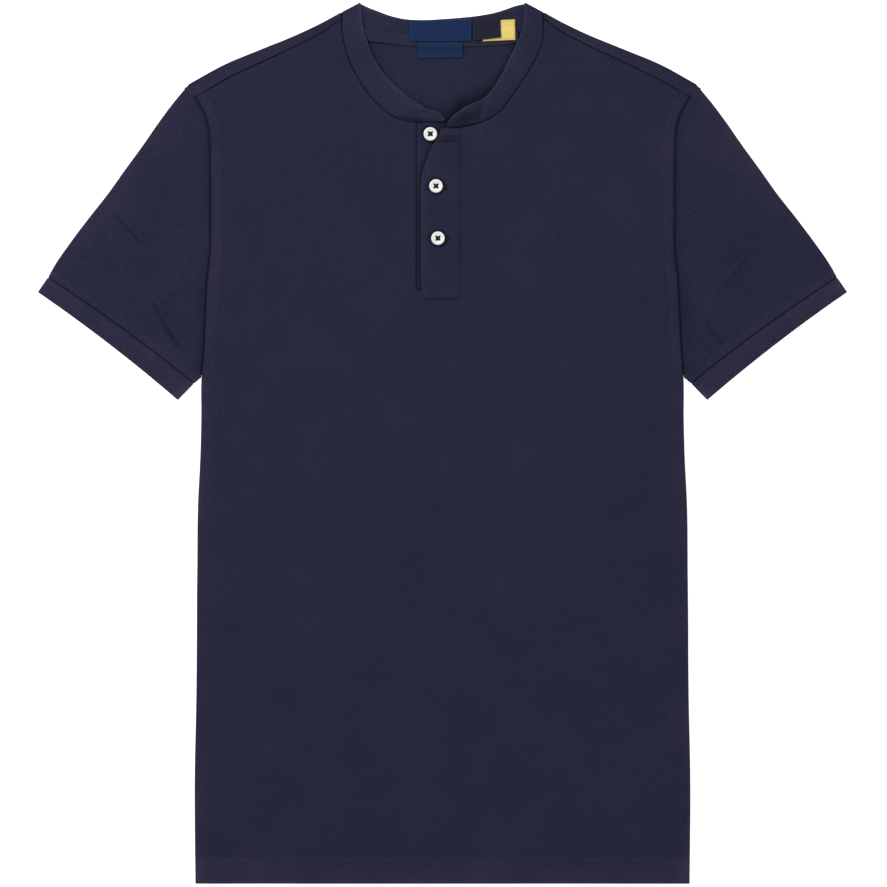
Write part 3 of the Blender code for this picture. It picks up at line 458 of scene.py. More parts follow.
def felled(distance, width=FELL_WIDTH, height=FELL_HEIGHT):
    """A turned edge: raised from the seam to its width, then down a short smooth step, with a
    stitched groove just inside the step."""
    raised = 1 - smoothstep((distance - width) / FELL_STEP)
    return height * raised + groove(distance - width + FELL_STITCH)


def seam_dip(distance):
    """Cloth drawn down beside a seam: less the dip times exp of less (distance / its reach) squared."""
    return -SEAM_DIP * np.exp(-(distance / SEAM_DIP_REACH) ** 2)


def below_arm(y):
    """1 beside the body's side seams, 0 beside its armholes."""
    return smoothstep((UNDERARM[1] + 2 * MM - y) / (6 * MM))


def side_roll(x, y, from_height, to_height):
    """How far a layer turns towards the other at its side seam: a quarter of an ellipse."""
    inside = np.clip(body_half_width(y) - np.abs(x), 0, None)
    turn = 1 - np.sqrt(np.clip(1 - (1 - np.clip(inside / SIDE_ROLL, 0, 1)) ** 2, 0, 1))
    return below_arm(y) * turn * (to_height - from_height)


def upper_height(x, y):
    """Middle of the upper layer, with its swells, creases and slow waves."""
    return HIGH + ridges(x, y, SWELLS) + ridges(x, y, CREASES) + waves(x, y)


def fade_and_highlight(distance, reach=FADE_AND_HIGHLIGHT_REACH):
    """How much the dye near an edge is paled by wearing and lit by a painted highlight: exp of less
    (distance / its reach).
    """
    return np.exp(-distance / reach)


def gaussian_falloff(distance, reach=SHADE_REACH):
    """A falloff, exp of less (distance / its reach) squared: how strong painted shade is in a seam or under
    a part, and how some heights fall off.
    """
    return np.exp(-(distance / reach) ** 2)


def body_wear_and_shading(x, y):
    """Paling of the body's side folds and hem by wearing, with painted highlight there and on the felled
    bands beside its armholes, less the painted shade of the armhole seams."""
    # Side folds and hem: dye paled by wearing, partly painted highlight; felled band: painted highlight;
    # armhole seams: painted shade
    side = 0.9 * below_arm(y) * fade_and_highlight(body_half_width(y) - np.abs(x))
    hem = 0.5 * fade_and_highlight(y - HEM) + 0.42 * (1 - smoothstep((y - HEM - HEM_DEPTH) / (2 * MM)))
    to_armhole = distance_to(ARMHOLE, np.abs(x), y)
    fell = 0.4 * (1 - smoothstep((to_armhole - FELL_WIDTH) / (2 * MM)))
    return side + hem + (1 - below_arm(y)) * (fell - gaussian_falloff(to_armhole, ARMHOLE_SHADE_REACH))


def front_wear_and_shading(x, y):
    """Paling and painted highlight of the front, less the painted shade of its neck and shoulder seams."""
    neck = np.minimum(distance_to(LEFT_NECK, x, y), distance_to(RIGHT_NECK, x, y))
    shoulder = distance_to(SHOULDER_LINE, np.abs(x), y)
    return body_wear_and_shading(x, y) + 0.25 * fade_and_highlight(neck) - 0.9 * gaussian_falloff(neck) - 0.9 * gaussian_falloff(shoulder)


def back_wear_and_shading(x, y):
    """Paling and painted highlight of the back and its shoulder strips, less the painted shade of their
    seams, of the cloth under the neckband's raised end and of the back inside the neck."""
    shoulder = distance_to(SHOULDER_LINE, np.abs(x), y)
    on_strip = smoothstep((y - SHOULDER_LINE[-1, 1]) / MM) * (np.abs(x) > SHOULDER_LINE[0, 0])
    strip = 0.55 * on_strip * fade_and_highlight(shoulder) - 0.9 * gaussian_falloff(shoulder)
    under_band_shade = 0.5 * gaussian_falloff(distance_to(LEFT_FREE_EDGE, x, y), 3 * MM)
    return body_wear_and_shading(x, y) + strip - under_band_shade + ridges(x, y, NECK_SHADE)


def hem_relief(y):
    """The turned hem: a slightly raised band with a stitched groove along its upper edge."""
    above = y - HEM - HEM_DEPTH
    return 0.25 * MM * (1 - smoothstep((above + 0.5 * MM) / (1.5 * MM))) + groove(above + HEM_STITCH)


def front_height(x, y):
    """Middle of the front panel: the upper layer, settled on the back at the sides and the hem,
    with felled armholes, a stitched neck seam and a turned hem."""
    x, y = np.broadcast_arrays(x, y)
    inside = body_half_width(y) - np.abs(x)
    height = upper_height(x, y)
    height -= 0.5 * MM * below_arm(y) * (1 - smoothstep(inside / (16 * MM)))
    hem_wave = 0.5 + 0.5 * np.sin(2 * np.pi * 9.0 * x + 0.7) * np.cos(2 * np.pi * 3.7 * x)
    height -= (0.3 + 0.25 * hem_wave) * MM * (1 - smoothstep((y - HEM) / (34 * MM)))
    height += hem_relief(y)
    to_armhole = distance_to(ARMHOLE, np.abs(x), y)
    height += (felled(to_armhole) + seam_dip(to_armhole)) * (1 - below_arm(y))
    for neck in (LEFT_NECK, RIGHT_NECK):
        to_neck = distance_to(neck, x, y)
        height += felled(to_neck, 3.6 * MM, 0.18 * MM) + seam_dip(to_neck)
    height += seam_dip(distance_to(SHOULDER_LINE, np.abs(x), y))
    return height + side_roll(x, y, height, FRONT_SIDE)


def back_height(x, y):
    """Middle of the back panel, on the surface apart from its soft creases and stitched grooves."""
    x, y = np.broadcast_arrays(x, y)
    height = LOW + soft_creases(x, y)
    height -= groove(y - HEM - HEM_DEPTH + HEM_STITCH, UNDER_GROOVE)
    to_armhole = distance_to(ARMHOLE, np.abs(x), y)
    height -= groove(to_armhole - FELL_WIDTH + FELL_STITCH, UNDER_GROOVE) * (1 - below_arm(y))
    height -= groove(distance_to(BACK_NECK, x, y) - NECK_STITCH, 0.25 * MM)
    return height + side_roll(x, y, LOW, BACK_SIDE)


# ---------------------------------------------------------------- meshes
WELD_DISTANCE = 0.001 * MM


def grid_faces(rows, columns, closed=False, first=0):
    """Corner numbers of the cells of a grid. A closed grid joins its last column to its first."""
    index = first + np.arange(rows * columns).reshape(rows, columns)
    if closed:
        index = np.hstack((index, index[:, :1]))
    corners = (index[:-1, :-1], index[:-1, 1:], index[1:, 1:], index[1:, :-1])
    return np.stack(corners, axis=-1).reshape(-1, 4)


def edge_distance(grid, sides):
    """Distance inside the named sides of a grid: first and last column, first and last row."""
    across = distances(grid.transpose(1, 0, 2)).T
    upwards = distances(grid)
    found = {
        "first": across, "last": across[:, -1:] - across,
        "bottom": upwards, "top": upwards[-1:] - upwards,
    }
    return np.minimum.reduce([found[side] for side in sides.split()])


def vertex_normals(points, faces):
    """Mean of the normals of the faces round each point."""
    corner = points[faces]
    face_normals = np.cross(corner[:, 2] - corner[:, 0], corner[:, 3] - corner[:, 1])
    normals = np.zeros_like(points)
    for i in range(faces.shape[1]):
        np.add.at(normals, faces[:, i], face_normals)
    return normals / np.maximum(np.linalg.norm(normals, axis=1, keepdims=True), 1e-12)


def weld(points, faces, inside):
    """Points that coincide become one, which is as far inside as the first of each."""
    keys = np.round(points / WELD_DISTANCE).astype(np.int64)
    _, first, number = np.unique(keys, axis=0, return_index=True, return_inverse=True)
    return points[first], number.reshape(-1)[faces], inside[first]


def linked(name, data):
    """A new object in the scene, at the origin."""
    obj = bpy.data.objects.new(name, data)
    bpy.context.scene.collection.objects.link(obj)
    return obj


def mesh_object(name, points, faces, uv=None, wear_and_painted_shading=None):
    """A smooth mesh at the origin, with its pattern's places in a UV map in metres, and as an
    attribute each point's paling by wearing, its painted highlight and its painted shade."""
    mesh = bpy.data.meshes.new(name)
    mesh.vertices.add(len(points))
    mesh.vertices.foreach_set("co", np.asarray(points, dtype=np.float32).ravel())
    size = faces.shape[1]
    mesh.loops.add(faces.size)
    mesh.loops.foreach_set("vertex_index", faces.astype(np.int32).ravel())
    mesh.polygons.add(len(faces))
    mesh.polygons.foreach_set("loop_start", np.arange(0, faces.size, size, dtype=np.int32))
    mesh.update(calc_edges=True)
    if uv is not None:
        layer = mesh.uv_layers.new(name="cloth")
        layer.data.foreach_set("uv", uv[faces.ravel()].astype(np.float32).ravel())
    if wear_and_painted_shading is not None:
        attribute = mesh.attributes.new("wear_and_painted_shading", "FLOAT", "POINT")
        attribute.data.foreach_set("value", wear_and_painted_shading.astype(np.float32))
    mesh.shade_smooth()
    return linked(name, mesh)


def cloth(name, points, faces, uv, inside, wall=WALL, worn_and_painted_shading=None):
    """Two skins half a wall either side of the middle surface. Near the border the wall thins as
    the square root of one less (1 - distance inside / rounding) squared, so they meet there.
    The last argument gives how far each point's dye is paled by wearing and lit by painted highlight, up to
    1, or below 0 how much painted shade it has in a seam or under a part."""
    normals = vertex_normals(points, faces)
    edges = np.sort(np.concatenate([faces[:, [i, (i + 1) % 4]] for i in range(4)]), axis=1)
    edges, uses = np.unique(edges, axis=0, return_counts=True)
    border = np.unique(edges[uses == 1])
    inside = inside.copy()
    inside[border] = 0.0
    depth = wall / 2 * np.sqrt(np.clip(1 - (1 - np.clip(inside / ROUND, 0, 1)) ** 2, 0, 1))
    shift = normals * depth[:, None]
    own = np.ones(len(points), dtype=bool)
    own[border] = False
    lower_number = np.arange(len(points))
    lower_number[own] = len(points) + np.arange(own.sum())
    both = np.vstack((points + shift, (points - shift)[own]))
    all_faces = np.vstack((faces, lower_number[faces][:, ::-1]))
    worn_and_painted_shading = np.zeros(len(points)) if worn_and_painted_shading is None else np.clip(worn_and_painted_shading, -1.0, 1.0)
    return mesh_object(name, both, all_faces, np.vstack((uv, uv[own])), np.concatenate((worn_and_painted_shading, worn_and_painted_shading[own])))


def grid_cloth(name, grid, uv, wall=WALL, worn_and_painted_shading=None):
    """A piece of cloth from one grid of points, cut on all four sides."""
    inside = edge_distance(grid, "first last bottom top").reshape(-1)
    worn_and_painted_shading = worn_and_painted_shading if worn_and_painted_shading is None else worn_and_painted_shading.reshape(-1)
    faces = grid_faces(*grid.shape[:2])
    return cloth(name, grid.reshape(-1, 3), faces, uv.reshape(-1, 2), inside, wall, worn_and_painted_shading)


def patch(points, sides):
    """A grid of points with its distance inside the named sides, ready to be joined."""
    return points, edge_distance(points, sides)


def join_patches(patches):
    """Points, faces and distances inside of several grids, welded where they meet."""
    points, faces, inside, count = [], [], [], 0
    for grid, depth in patches:
        faces.append(grid_faces(*grid.shape[:2], first=count))
        points.append(grid.reshape(-1, 3))
        inside.append(depth.reshape(-1))
        count += len(points[-1])
    return weld(np.vstack(points), np.vstack(faces), np.concatenate(inside))


# ---------------------------------------------------------------- front and back
FOLD_ANGLES = np.radians(np.arange(-75.0, 76.0, 25.0))


def front_half(neck, slit_x):
    """Plan of half the front above the slit's end: the space between the slit, the neck and
    shoulder seams and the armhole. neck runs from the slit to the shoulder on the wearer's left."""
    seam = offset_path(SHOULDER_SEAM, SEAM_GAP)
    neck = resample(np.vstack((neck, seam[:1])), spaced(FRONT_NECK_LENGTH, SHORT_EDGE))
    neck = offset_path(neck, SEAM_GAP)
    neck[0, 0] = slit_x
    neck[-1] = seam[0]
    seam = resample(seam, spaced(SHOULDER_LENGTH, PLAIN, EDGE))
    last = body_half_width(SLIT_END)
    middle = slit_x + NECK_SHARE * (last - slit_x)
    columns = np.concatenate((
        slit_x + (middle - slit_x) * lengths_along(neck),
        middle + (last - middle) * lengths_along(seam)[1:]))
    top = np.vstack((neck, seam[1:]))
    rise = spaced(ARMHOLE_RISE, PLAIN, EDGE)
    armhole = armhole_path(SLIT_END + rise * (SHOULDER_Y - SLIT_END))
    armhole[-1] = top[-1]
    slit = pairs(slit_x, SLIT_END + rise * (top[0, 1] - SLIT_END))
    return columns, fill_edges(pairs(columns, SLIT_END), top, slit, armhole, ARMHOLE_PULL)


def lower_plan(columns, rows):
    """Rows across the body below the slit's end, keeping each column's share of the half width."""
    share = columns / body_half_width(SLIT_END)
    return pairs(share[None, :] * body_half_width(rows)[:, None], rows[:, None])


def lifted(plan, height):
    """Points above a plan, at the height that a function gives."""
    return np.dstack((plan, height(plan[..., 0], plan[..., 1])))


def make_front():
    """Front panel: two halves above the slit's end and one grid below it, down to the hem."""
    left_neck = columns_of(BAND_FRONT_LEFT, "seam_x", "seam_y")
    right_neck = mirrored(columns_of(BAND_FRONT_RIGHT, "seam_x", "seam_y"))[::-1]
    left_columns, left = front_half(left_neck[left_neck[:, 0] >= SLIT_RIGHT], SLIT_RIGHT)
    right_columns, right = front_half(right_neck[right_neck[:, 0] >= -SLIT_LEFT], -SLIT_LEFT)
    slit_width = SLIT_RIGHT - SLIT_LEFT
    between = SLIT_LEFT + slit_width * spaced(slit_width, SHORT_EDGE, SHORT_EDGE)
    columns = np.concatenate((-right_columns[:0:-1], between, left_columns[1:]))
    rows = HEM + (SLIT_END - HEM) * spaced(SLIT_END - HEM, HEM_EDGE, SHORT_EDGE)
    lower = lifted(lower_plan(columns, rows), front_height)
    slit_foot = np.array(((SLIT_LEFT, SLIT_END), (SLIT_RIGHT, SLIT_END)))
    lower_inside = np.minimum(
        edge_distance(lower, "first last bottom"), distance_to(slit_foot, lower[..., 0], lower[..., 1]))
    patches = [
        (lower, lower_inside),
        patch(lifted(left, front_height), "first last top"),
        patch(lifted(mirrored(right)[:, ::-1], front_height), "first last top"),
    ]
    points, faces, inside = join_patches(patches)
    worn_and_painted_shading = front_wear_and_shading(points[:, 0], points[:, 1])
    return cloth("front_cloth", points, faces, points[:, :2], inside, WALL, worn_and_painted_shading)


def fold_rows(start, outwards, low, high):
    """Rows round a fold from the lower layer to the upper one: half an ellipse in section."""
    rise = (high - low) / 2
    return np.array([
        np.column_stack((start + FOLD_REACH * np.cos(angle) * outwards, low + rise * (1 + np.sin(angle))))
        for angle in FOLD_ANGLES])


def shoulder_height(x, y):
    """Middle of the strip that comes over the shoulder, on the upper layer: felled along the
    shoulder seam, with two stitched grooves."""
    to_seam = distance_to(SHOULDER_LINE, np.abs(x), y)
    near, far = SHOULDER_STITCHES
    stitched = groove(to_seam - near, 0.2 * MM) + groove(to_seam - far, 0.14 * MM)
    return upper_height(x, y) + 0.3 * MM + 0.5 * seam_dip(to_seam) + stitched


def raised(plan, height):
    """Points above a row of places in plan, at the height that a function gives."""
    return np.column_stack((plan, height(plan[:, 0], plan[:, 1])))


def shoulder_strip(columns):
    """Grid of the strip: from the back panel's top, round the fold at the outline, and back
    along the upper layer to the forward shoulder seam."""
    outline = resample(SHOULDER_OUTLINE, columns)
    seam = resample(SHOULDER_SEAM, columns)
    outwards = unit(outline - seam)
    start = outline - FOLD_INSET * outwards
    height = shoulder_height(start[:, 0], start[:, 1])
    lower = [raised(seam + t * (start - seam), back_height) for t in np.linspace(0, 1, 4)]
    lower[-1][:, 2] = LOW
    upper_places = spaced(0.0105, PLAIN, NEAR_EDGE, 1.2 * MM)
    upper = [raised(start + t * (seam - start), shoulder_height) for t in upper_places]
    return np.concatenate((lower, fold_rows(start, outwards, LOW, height), upper))


def make_back():
    """Back panel and the two strips that come over the shoulders."""
    across = spaced(SHOULDER_LENGTH, NEAR_EDGE, EDGE)
    shoulder = resample(SHOULDER_SEAM, across)
    left_end, right_end = SHOULDER_SEAM[:1], mirrored(SHOULDER_SEAM[:1])
    control = np.vstack((right_end, columns_of(BAND_BACK, "seam_x", "seam_y")[::-1], left_end))
    neck = offset_path(resample(control, spaced(BACK_NECK_LENGTH)), SEAM_GAP)
    neck[0], neck[-1] = right_end[0], left_end[0]
    top = np.vstack((mirrored(shoulder[:0:-1]), neck, shoulder[1:]))
    half = body_half_width(SLIT_END)
    columns = half * (2 * lengths_along(top) - 1)
    rise = spaced(ARMHOLE_RISE, PLAIN, NEAR_EDGE)
    armhole = armhole_path(SLIT_END + rise * (SHOULDER_Y - SLIT_END))
    armhole[-1] = top[-1]
    upper = fill_edges(pairs(columns, SLIT_END), top, mirrored(armhole), armhole)
    rows = HEM + (SLIT_END - HEM) * spaced(SLIT_END - HEM, HEM_EDGE)
    plan = np.vstack((lower_plan(columns, rows)[:-1], upper))
    panel = lifted(plan, back_height)
    to_neck = distance_to(neck, panel[..., 0], panel[..., 1])
    inside = np.minimum(edge_distance(panel, "first last bottom"), to_neck)
    strip = shoulder_strip(across)
    strip[0] = panel[-1, -len(shoulder):]
    other = mirrored(strip)
    other[0] = panel[-1, :len(shoulder)][::-1]
    patches = [(panel, inside), patch(strip, "first last top"), patch(other[:, ::-1], "first last top")]
    points, faces, inside = join_patches(patches)
    worn_and_painted_shading = back_wear_and_shading(points[:, 0], points[:, 1])
    return cloth("back_cloth", points, faces, points[:, :2], inside, WALL, worn_and_painted_shading)


# ---------------------------------------------------------------- sleeves and cuffs
def sleeve_armhole():
    """The sleeve's end at the armhole, from the shoulder fold down to the underarm."""
    outline, seam = SHOULDER_OUTLINE[-1], SHOULDER_SEAM[-1]
    fold_start = outline - FOLD_INSET * unit(outline - seam)
    heights = np.linspace(SHOULDER_Y, UNDERARM[1] + FOLD_INSET, 90)
    return np.vstack((fold_start, armhole_path(heights))) + (ARMHOLE_GAP, 0.0)


def bowed(start, end, fractions):
    """A line from start to end that curves towards the shoulder."""
    along = unit(end - start)
    bow = CUFF_BOW * 4 * fractions * (1 - fractions)
    return start + np.outer(fractions, end - start) + np.outer(bow, (along[1], -along[0]))


def inset(start, end):
    """Both ends of a line, moved in by what a fold takes up."""
    along = unit(end - start)
    return start + FOLD_INSET * along, end - FOLD_INSET * along


def cuff_seam(fractions):
    """Where the sleeve ends, from its upper fold to its lower one."""
    return bowed(*inset(columns_of(SLEEVE_TOP, "x", "y")[-1], CUFF_SEAM_LOW), fractions)


CUFF_LINE = cuff_seam(FINE)
TUBE_EDGE = MM * np.array((0, 0.5, 1.2, 2.2))
SLEEVE_ANGLE = math.radians(-28.0)
ACROSS = spaced(SLEEVE_WIDTH, TUBE_EDGE, TUBE_EDGE, SLEEVE_STEP)


def sleeve_height(x, y):
    """Middle of the sleeve's upper layer: it sinks beside the armhole, is felled at the cuff and
    has pressed lines."""
    to_armhole = distance_to(ARMHOLE, np.abs(x), y)
    to_cuff = distance_to(CUFF_LINE, np.abs(x), y)
    puckers = 0.06 * MM * np.sin(2 * np.pi * y / (7.0 * MM)) * np.exp(-to_armhole / (5 * MM))
    sink = 0.28 * MM * (1 - smoothstep(to_armhole / (7 * MM)))
    height = upper_height(x, y) + ridges(x, y, PRESSED_LINES) - sink + puckers
    return height + felled(to_cuff, 6.0 * MM, 0.34 * MM) + 0.8 * seam_dip(to_cuff)


def cuff_height(x, y):
    """Middle of the cuff's upper layer, a little plump between its seam and its edge."""
    to_seam = distance_to(CUFF_LINE, np.abs(x), y)
    crown = 0.25 * MM * np.sin(np.pi * np.clip(to_seam / (15.5 * MM), 0, 1))
    return upper_height(x, y) + crown + 0.1 * MM + seam_dip(to_seam)


def sleeve_under(x, y):
    """Middle of the sleeve's lower layer, with soft creases and a stitched groove above the cuff."""
    to_cuff = distance_to(CUFF_LINE, np.abs(x), y)
    return LOW + soft_creases(x, y) - groove(to_cuff - CUFF_STITCH, UNDER_GROOVE)


def cuff_under(x, y):
    """Middle of the cuff's lower layer, which lies flat."""
    return LOW + 0 * x


def sleeve_plan():
    """Plan of the wearer's left sleeve, from the armhole to the cuff seam."""
    armhole = resample(sleeve_armhole(), ACROSS)
    seam = cuff_seam(lengths_along(armhole))
    stations = spaced(SLEEVE_LENGTH, EDGE, EDGE, SLEEVE_STEP)
    top = resample(offset_path(columns_of(SLEEVE_TOP, "x", "y"), FOLD_INSET), stations)
    top[0], top[-1] = armhole[0], seam[0]
    under = armhole[-1] + np.outer(stations, seam[-1] - armhole[-1])
    return fill_edges(armhole, seam, top, under)


def cuff_plan():
    """Plan of the wearer's left cuff, from its seam to its edge."""
    fractions = lengths_along(resample(sleeve_armhole(), ACROSS))
    seam = cuff_seam(fractions)
    edge = bowed(*inset(CUFF_CORNER_HIGH, CUFF_CORNER_LOW), fractions)
    seam = seam + SEAM_GAP * unit(edge.mean(axis=0) - seam.mean(axis=0))
    stations = spaced(CUFF_WIDTH, SHORT_EDGE, SHORT_EDGE, 2.0 * MM)
    return seam[None] + stations[:, None, None] * (edge - seam)[None]


def tube_grid(plan, height, under):
    """Closed sections of a flattened tube: along the lower layer, round the fold at the plan's
    last column, back along the upper layer and round the fold at its first column."""
    lower, upper = lifted(plan, under), lifted(plan, height)
    folds = []
    for edge, beside in ((-1, -3), (0, 2)):
        outwards = unit(plan[:, edge] - plan[:, beside])
        rows = fold_rows(plan[:, edge], outwards, lower[:, edge, 2], upper[:, edge, 2])
        folds.append(rows.transpose(1, 0, 2))
    return np.hstack((lower, folds[0], upper[:, ::-1], folds[1][:, ::-1]))


def turned_uv(points, angle):
    """Places of the knit's pattern: the plan, turned so that its ribs run along the sleeve."""
    x, y = points[:, 0], points[:, 1]
    across = x * math.cos(angle) + y * math.sin(angle)
    return np.column_stack((across, y * math.cos(angle) - x * math.sin(angle)))


def tube_wear_and_shading(x, y, plan, end_reach):
    """Paling and painted highlight of a tube's two folds and of its end beside the cuff seam, less the
    painted shade of the armhole and cuff seams, beside the armhole, in the pressed lines and at the
    underarm."""
    folds = np.minimum(distance_to(plan[:, 0], x, y), distance_to(plan[:, -1], x, y))
    seam = distance_to(CUFF_LINE, np.abs(x), y)
    to_armhole = distance_to(ARMHOLE, np.abs(x), y)
    end = 0.35 * (1 - smoothstep((seam - end_reach) / (2 * MM)))
    worn_and_painted_shading = 0.45 * fade_and_highlight(folds) + 0.3 * fade_and_highlight(folds, 3 * FADE_AND_HIGHLIGHT_REACH) + end
    # Painted shade in the pressed lines and at the underarm, then beside the armhole and in the cuff seam
    worn_and_painted_shading += LINE_SHADE * ridges(x, y, PRESSED_LINES) + ridges(np.abs(x), y, UNDERARM_SHADE)
    worn_and_painted_shading -= 1.1 * gaussian_falloff(to_armhole, ARMHOLE_SHADE_REACH) + 0.2 * gaussian_falloff(to_armhole, 7 * MM)
    return worn_and_painted_shading - 0.9 * gaussian_falloff(seam)


def make_tube(name, plan, height, under, side, end_reach):
    """A flattened tube on the wearer's left (side 1) or right (side -1), open at both ends."""
    plan = plan * (side, 1.0)
    grid = tube_grid(plan, height, under)
    faces = grid_faces(*grid.shape[:2], closed=True)
    inside = edge_distance(grid, "bottom top").reshape(-1)
    points = grid.reshape(-1, 3)
    worn_and_painted_shading = tube_wear_and_shading(points[:, 0], points[:, 1], plan, end_reach)
    return cloth(name, points, faces, turned_uv(points, side * SLEEVE_ANGLE), inside, WALL, worn_and_painted_shading)


# ---------------------------------------------------------------- neckband
# Folds in the neckband, as in the table of creases
BAND_CREASES = table("from_x from_y to_x to_y height width", (
    (-0.0273, 0.2759, -0.0110, 0.2787, -0.0008, 0.0012),
    (-0.0336, 0.2736, -0.0046, 0.2734, 0.0007, 0.0016),
    (-0.0110, 0.2787, 0.0010, 0.2755, -0.0005, 0.0012),
    (0.0345, 0.2865, 0.0310, 0.2730, -0.0012, 0.0022),
    (0.0400, 0.2850, 0.0360, 0.2740, 0.0007, 0.0024),
    (0.0220, 0.2725, 0.0320, 0.2700, -0.0007, 0.0016),
    (0.0560, 0.2990, 0.0500, 0.2930, 0.0004, 0.0020),
    (-0.0620, 0.3010, -0.0560, 0.3080, 0.0003, 0.0020),
))


def band_rows(sections, seam_z, free_z):
    """Seam and free edge of the neckband at each section, as six columns."""
    seam, free = columns_of(sections, "seam_x", "seam_y"), columns_of(sections, "free_x", "free_y")
    flat = np.zeros(len(seam))
    return np.column_stack((seam, seam_z + flat, free, free_z + flat))


def band_fold(side):
    """Sections of the neckband round its fold at a shoulder, from the upper layer down."""
    outline = np.array((SHOULDER["outline_x"][0] - SEAM_GAP, SHOULDER["outline_y"][0]))
    along = unit(PEAK - outline)
    outwards = np.array((-along[1], along[0]))
    outwards *= np.sign(outwards[1])
    starts = np.array((outline, PEAK)) - FOLD_INSET * outwards
    rows = []
    for angle in np.radians(np.arange(90.0, -91.0, -20.0)):
        ends = starts + FOLD_REACH * np.cos(angle) * outwards
        height = (HIGH + LOW) / 2 + FOLD_REACH * np.sin(angle)
        rows.append(np.hstack((ends[0], height, ends[1], height)))
    return np.array(rows) * (side, 1, 1, side, 1, 1)


def band_sections():
    """All sections of the neckband, from its end on the wearer's left round to the other end,
    and how far each shares in the form of the front."""
    left = band_rows(BAND_FRONT_LEFT, BAND_FRONT_LEFT["seam_z"], BAND_FRONT_LEFT["free_z"])
    right = band_rows(BAND_FRONT_RIGHT, BAND_FRONT_RIGHT["seam_z"], BAND_FRONT_RIGHT["free_z"])
    left_fold, right_fold = band_fold(1.0), band_fold(-1.0)[::-1]
    back = np.vstack((left_fold[-1:], band_rows(BAND_BACK, LOW, LOW), right_fold[:1]))
    left_places = spaced(BAND_FRONT_LENGTH, NEAR_EDGE, PLAIN, 1.8 * MM)
    right_places = spaced(BAND_FRONT_LENGTH, PLAIN, NEAR_EDGE, 1.8 * MM)
    parts = (
        resample(np.vstack((left, left_fold[:1])), left_places), left_fold[1:-1],
        resample(back, spaced(BAND_BACK_LENGTH, PLAIN, PLAIN, 2.4 * MM)), right_fold[1:-1],
        resample(np.vstack((right_fold[-1:], right)), right_places))
    shares = (1.0, 0.0, 0.0, 0.0, 1.0)
    return np.vstack(parts), np.concatenate([np.full(len(p), s) for p, s in zip(parts, shares)])


def band_grid():
    """Points of the neckband: straight from seam to free edge, plus a soft crown and its folds."""
    sections, front_share = band_sections()
    across = spaced(BAND_WIDTH, NEAR_EDGE, NEAR_EDGE, 1.2 * MM)[None, :, None]
    grid = sections[:, None, :3] * (1 - across) + sections[:, None, 3:] * across
    crown = 0.4 * MM * np.sin(np.pi * across[..., 0])
    ends = smoothstep(distances(sections[:, :3])[:, None] / (6 * MM))
    folds = ridges(grid[..., 0], grid[..., 1], BAND_CREASES)
    from_seam = across[..., 0] * np.linalg.norm(sections[:, None, 3:] - sections[:, None, :3], axis=-1)
    grid[..., 2] += front_share[:, None] * (crown * ends + folds + 0.8 * seam_dip(from_seam))
    return grid


def make_band():
    """Doubled neckband, with its knit's ribs running across it."""
    grid = band_grid()
    u, v = distances(grid), distances(grid.transpose(1, 0, 2)).T
    uv = pairs(v, u[:, :1])
    # Painted highlight along the free edge's rim, painted shade at the seam and on the raised ends
    shade = ridges(grid[..., 0], grid[..., 1], BAND_SHADE) * (grid[..., 2] > HIGH)
    worn_and_painted_shading = 0.95 * fade_and_highlight(v[:, -1:] - v, 1.8 * MM) + 0.12 - 0.9 * gaussian_falloff(v) + shade
    return grid_cloth("neckband_cloth", grid, uv, WALL, worn_and_painted_shading)


# ---------------------------------------------------------------- placket
HOLE_HALF_HEIGHT = 0.22 * MM
NEAR_HOLE = MM * np.array((-1.6, -1.0, -0.6, -0.36, -0.22, 0.22, 0.36, 0.6, 1.0, 1.6))
HOLES = table("from_x to_x y", (
    (-0.0008, 0.0128, 0.2554), (-0.0122, 0.0018, 0.2150), (-0.0106, 0.0034, 0.1712),
))
PLACKET_STITCH_INSET = 1.9 * MM
WHIP_PITCH = 0.52 * MM  # between the strands along a buttonhole's edge
WHIP_REACH = 1.55 * MM  # from the buttonhole's middle to their outer ends
WHIP_RADIUS, BAR_REACH, BAR_SPACING = 0.23 * MM, 1.75 * MM, 0.38 * MM
BOX_TOP = 0.1297  # upper line of the stitched box at the placket's foot
BOX_FOOT = PLACKET_EDGE["y"][-1] + PLACKET_STITCH_INSET
PRESSED = 0.35  # how much faster than its other edges the strip's sewn ones thin out


def strip_edge(y, column):
    """A column of the free edge's table, at the given heights."""
    return smooth_curve(y, PLACKET_EDGE["y"][::-1], PLACKET_EDGE[column][::-1])


def under_button(x, y, layers, reach):
    """1 under the buttons that are sewn on that many layers up, falling off beyond their rims."""
    near = 0.0
    for button_x, button_y, below in zip(*BUTTONS.values()):
        if below == layers:
            from_rim = np.hypot(x - button_x, y - button_y) - BUTTON_RADIUS
            near = near + gaussian_falloff(np.clip(from_rim, 0, None), reach)
    return near


def button_pull(x, y, layers):
    """Cloth drawn down round the rims of the buttons that are sewn on above it."""
    return -0.3 * MM * under_button(x, y, layers, 1.6 * MM)


def hole_rim(x, y):
    """How near each point is to the outer edge of a buttonhole's whipping: 1 on it."""
    gap = np.full(np.broadcast(x, y).shape, 1.0)
    for from_x, to_x, hole_y in zip(*HOLES.values()):
        gap = np.minimum(gap, distance_to(np.array(((from_x, hole_y), (to_x, hole_y))), x, y))
    return gaussian_falloff(gap - WHIP_REACH - 0.35 * MM, 0.55 * MM)


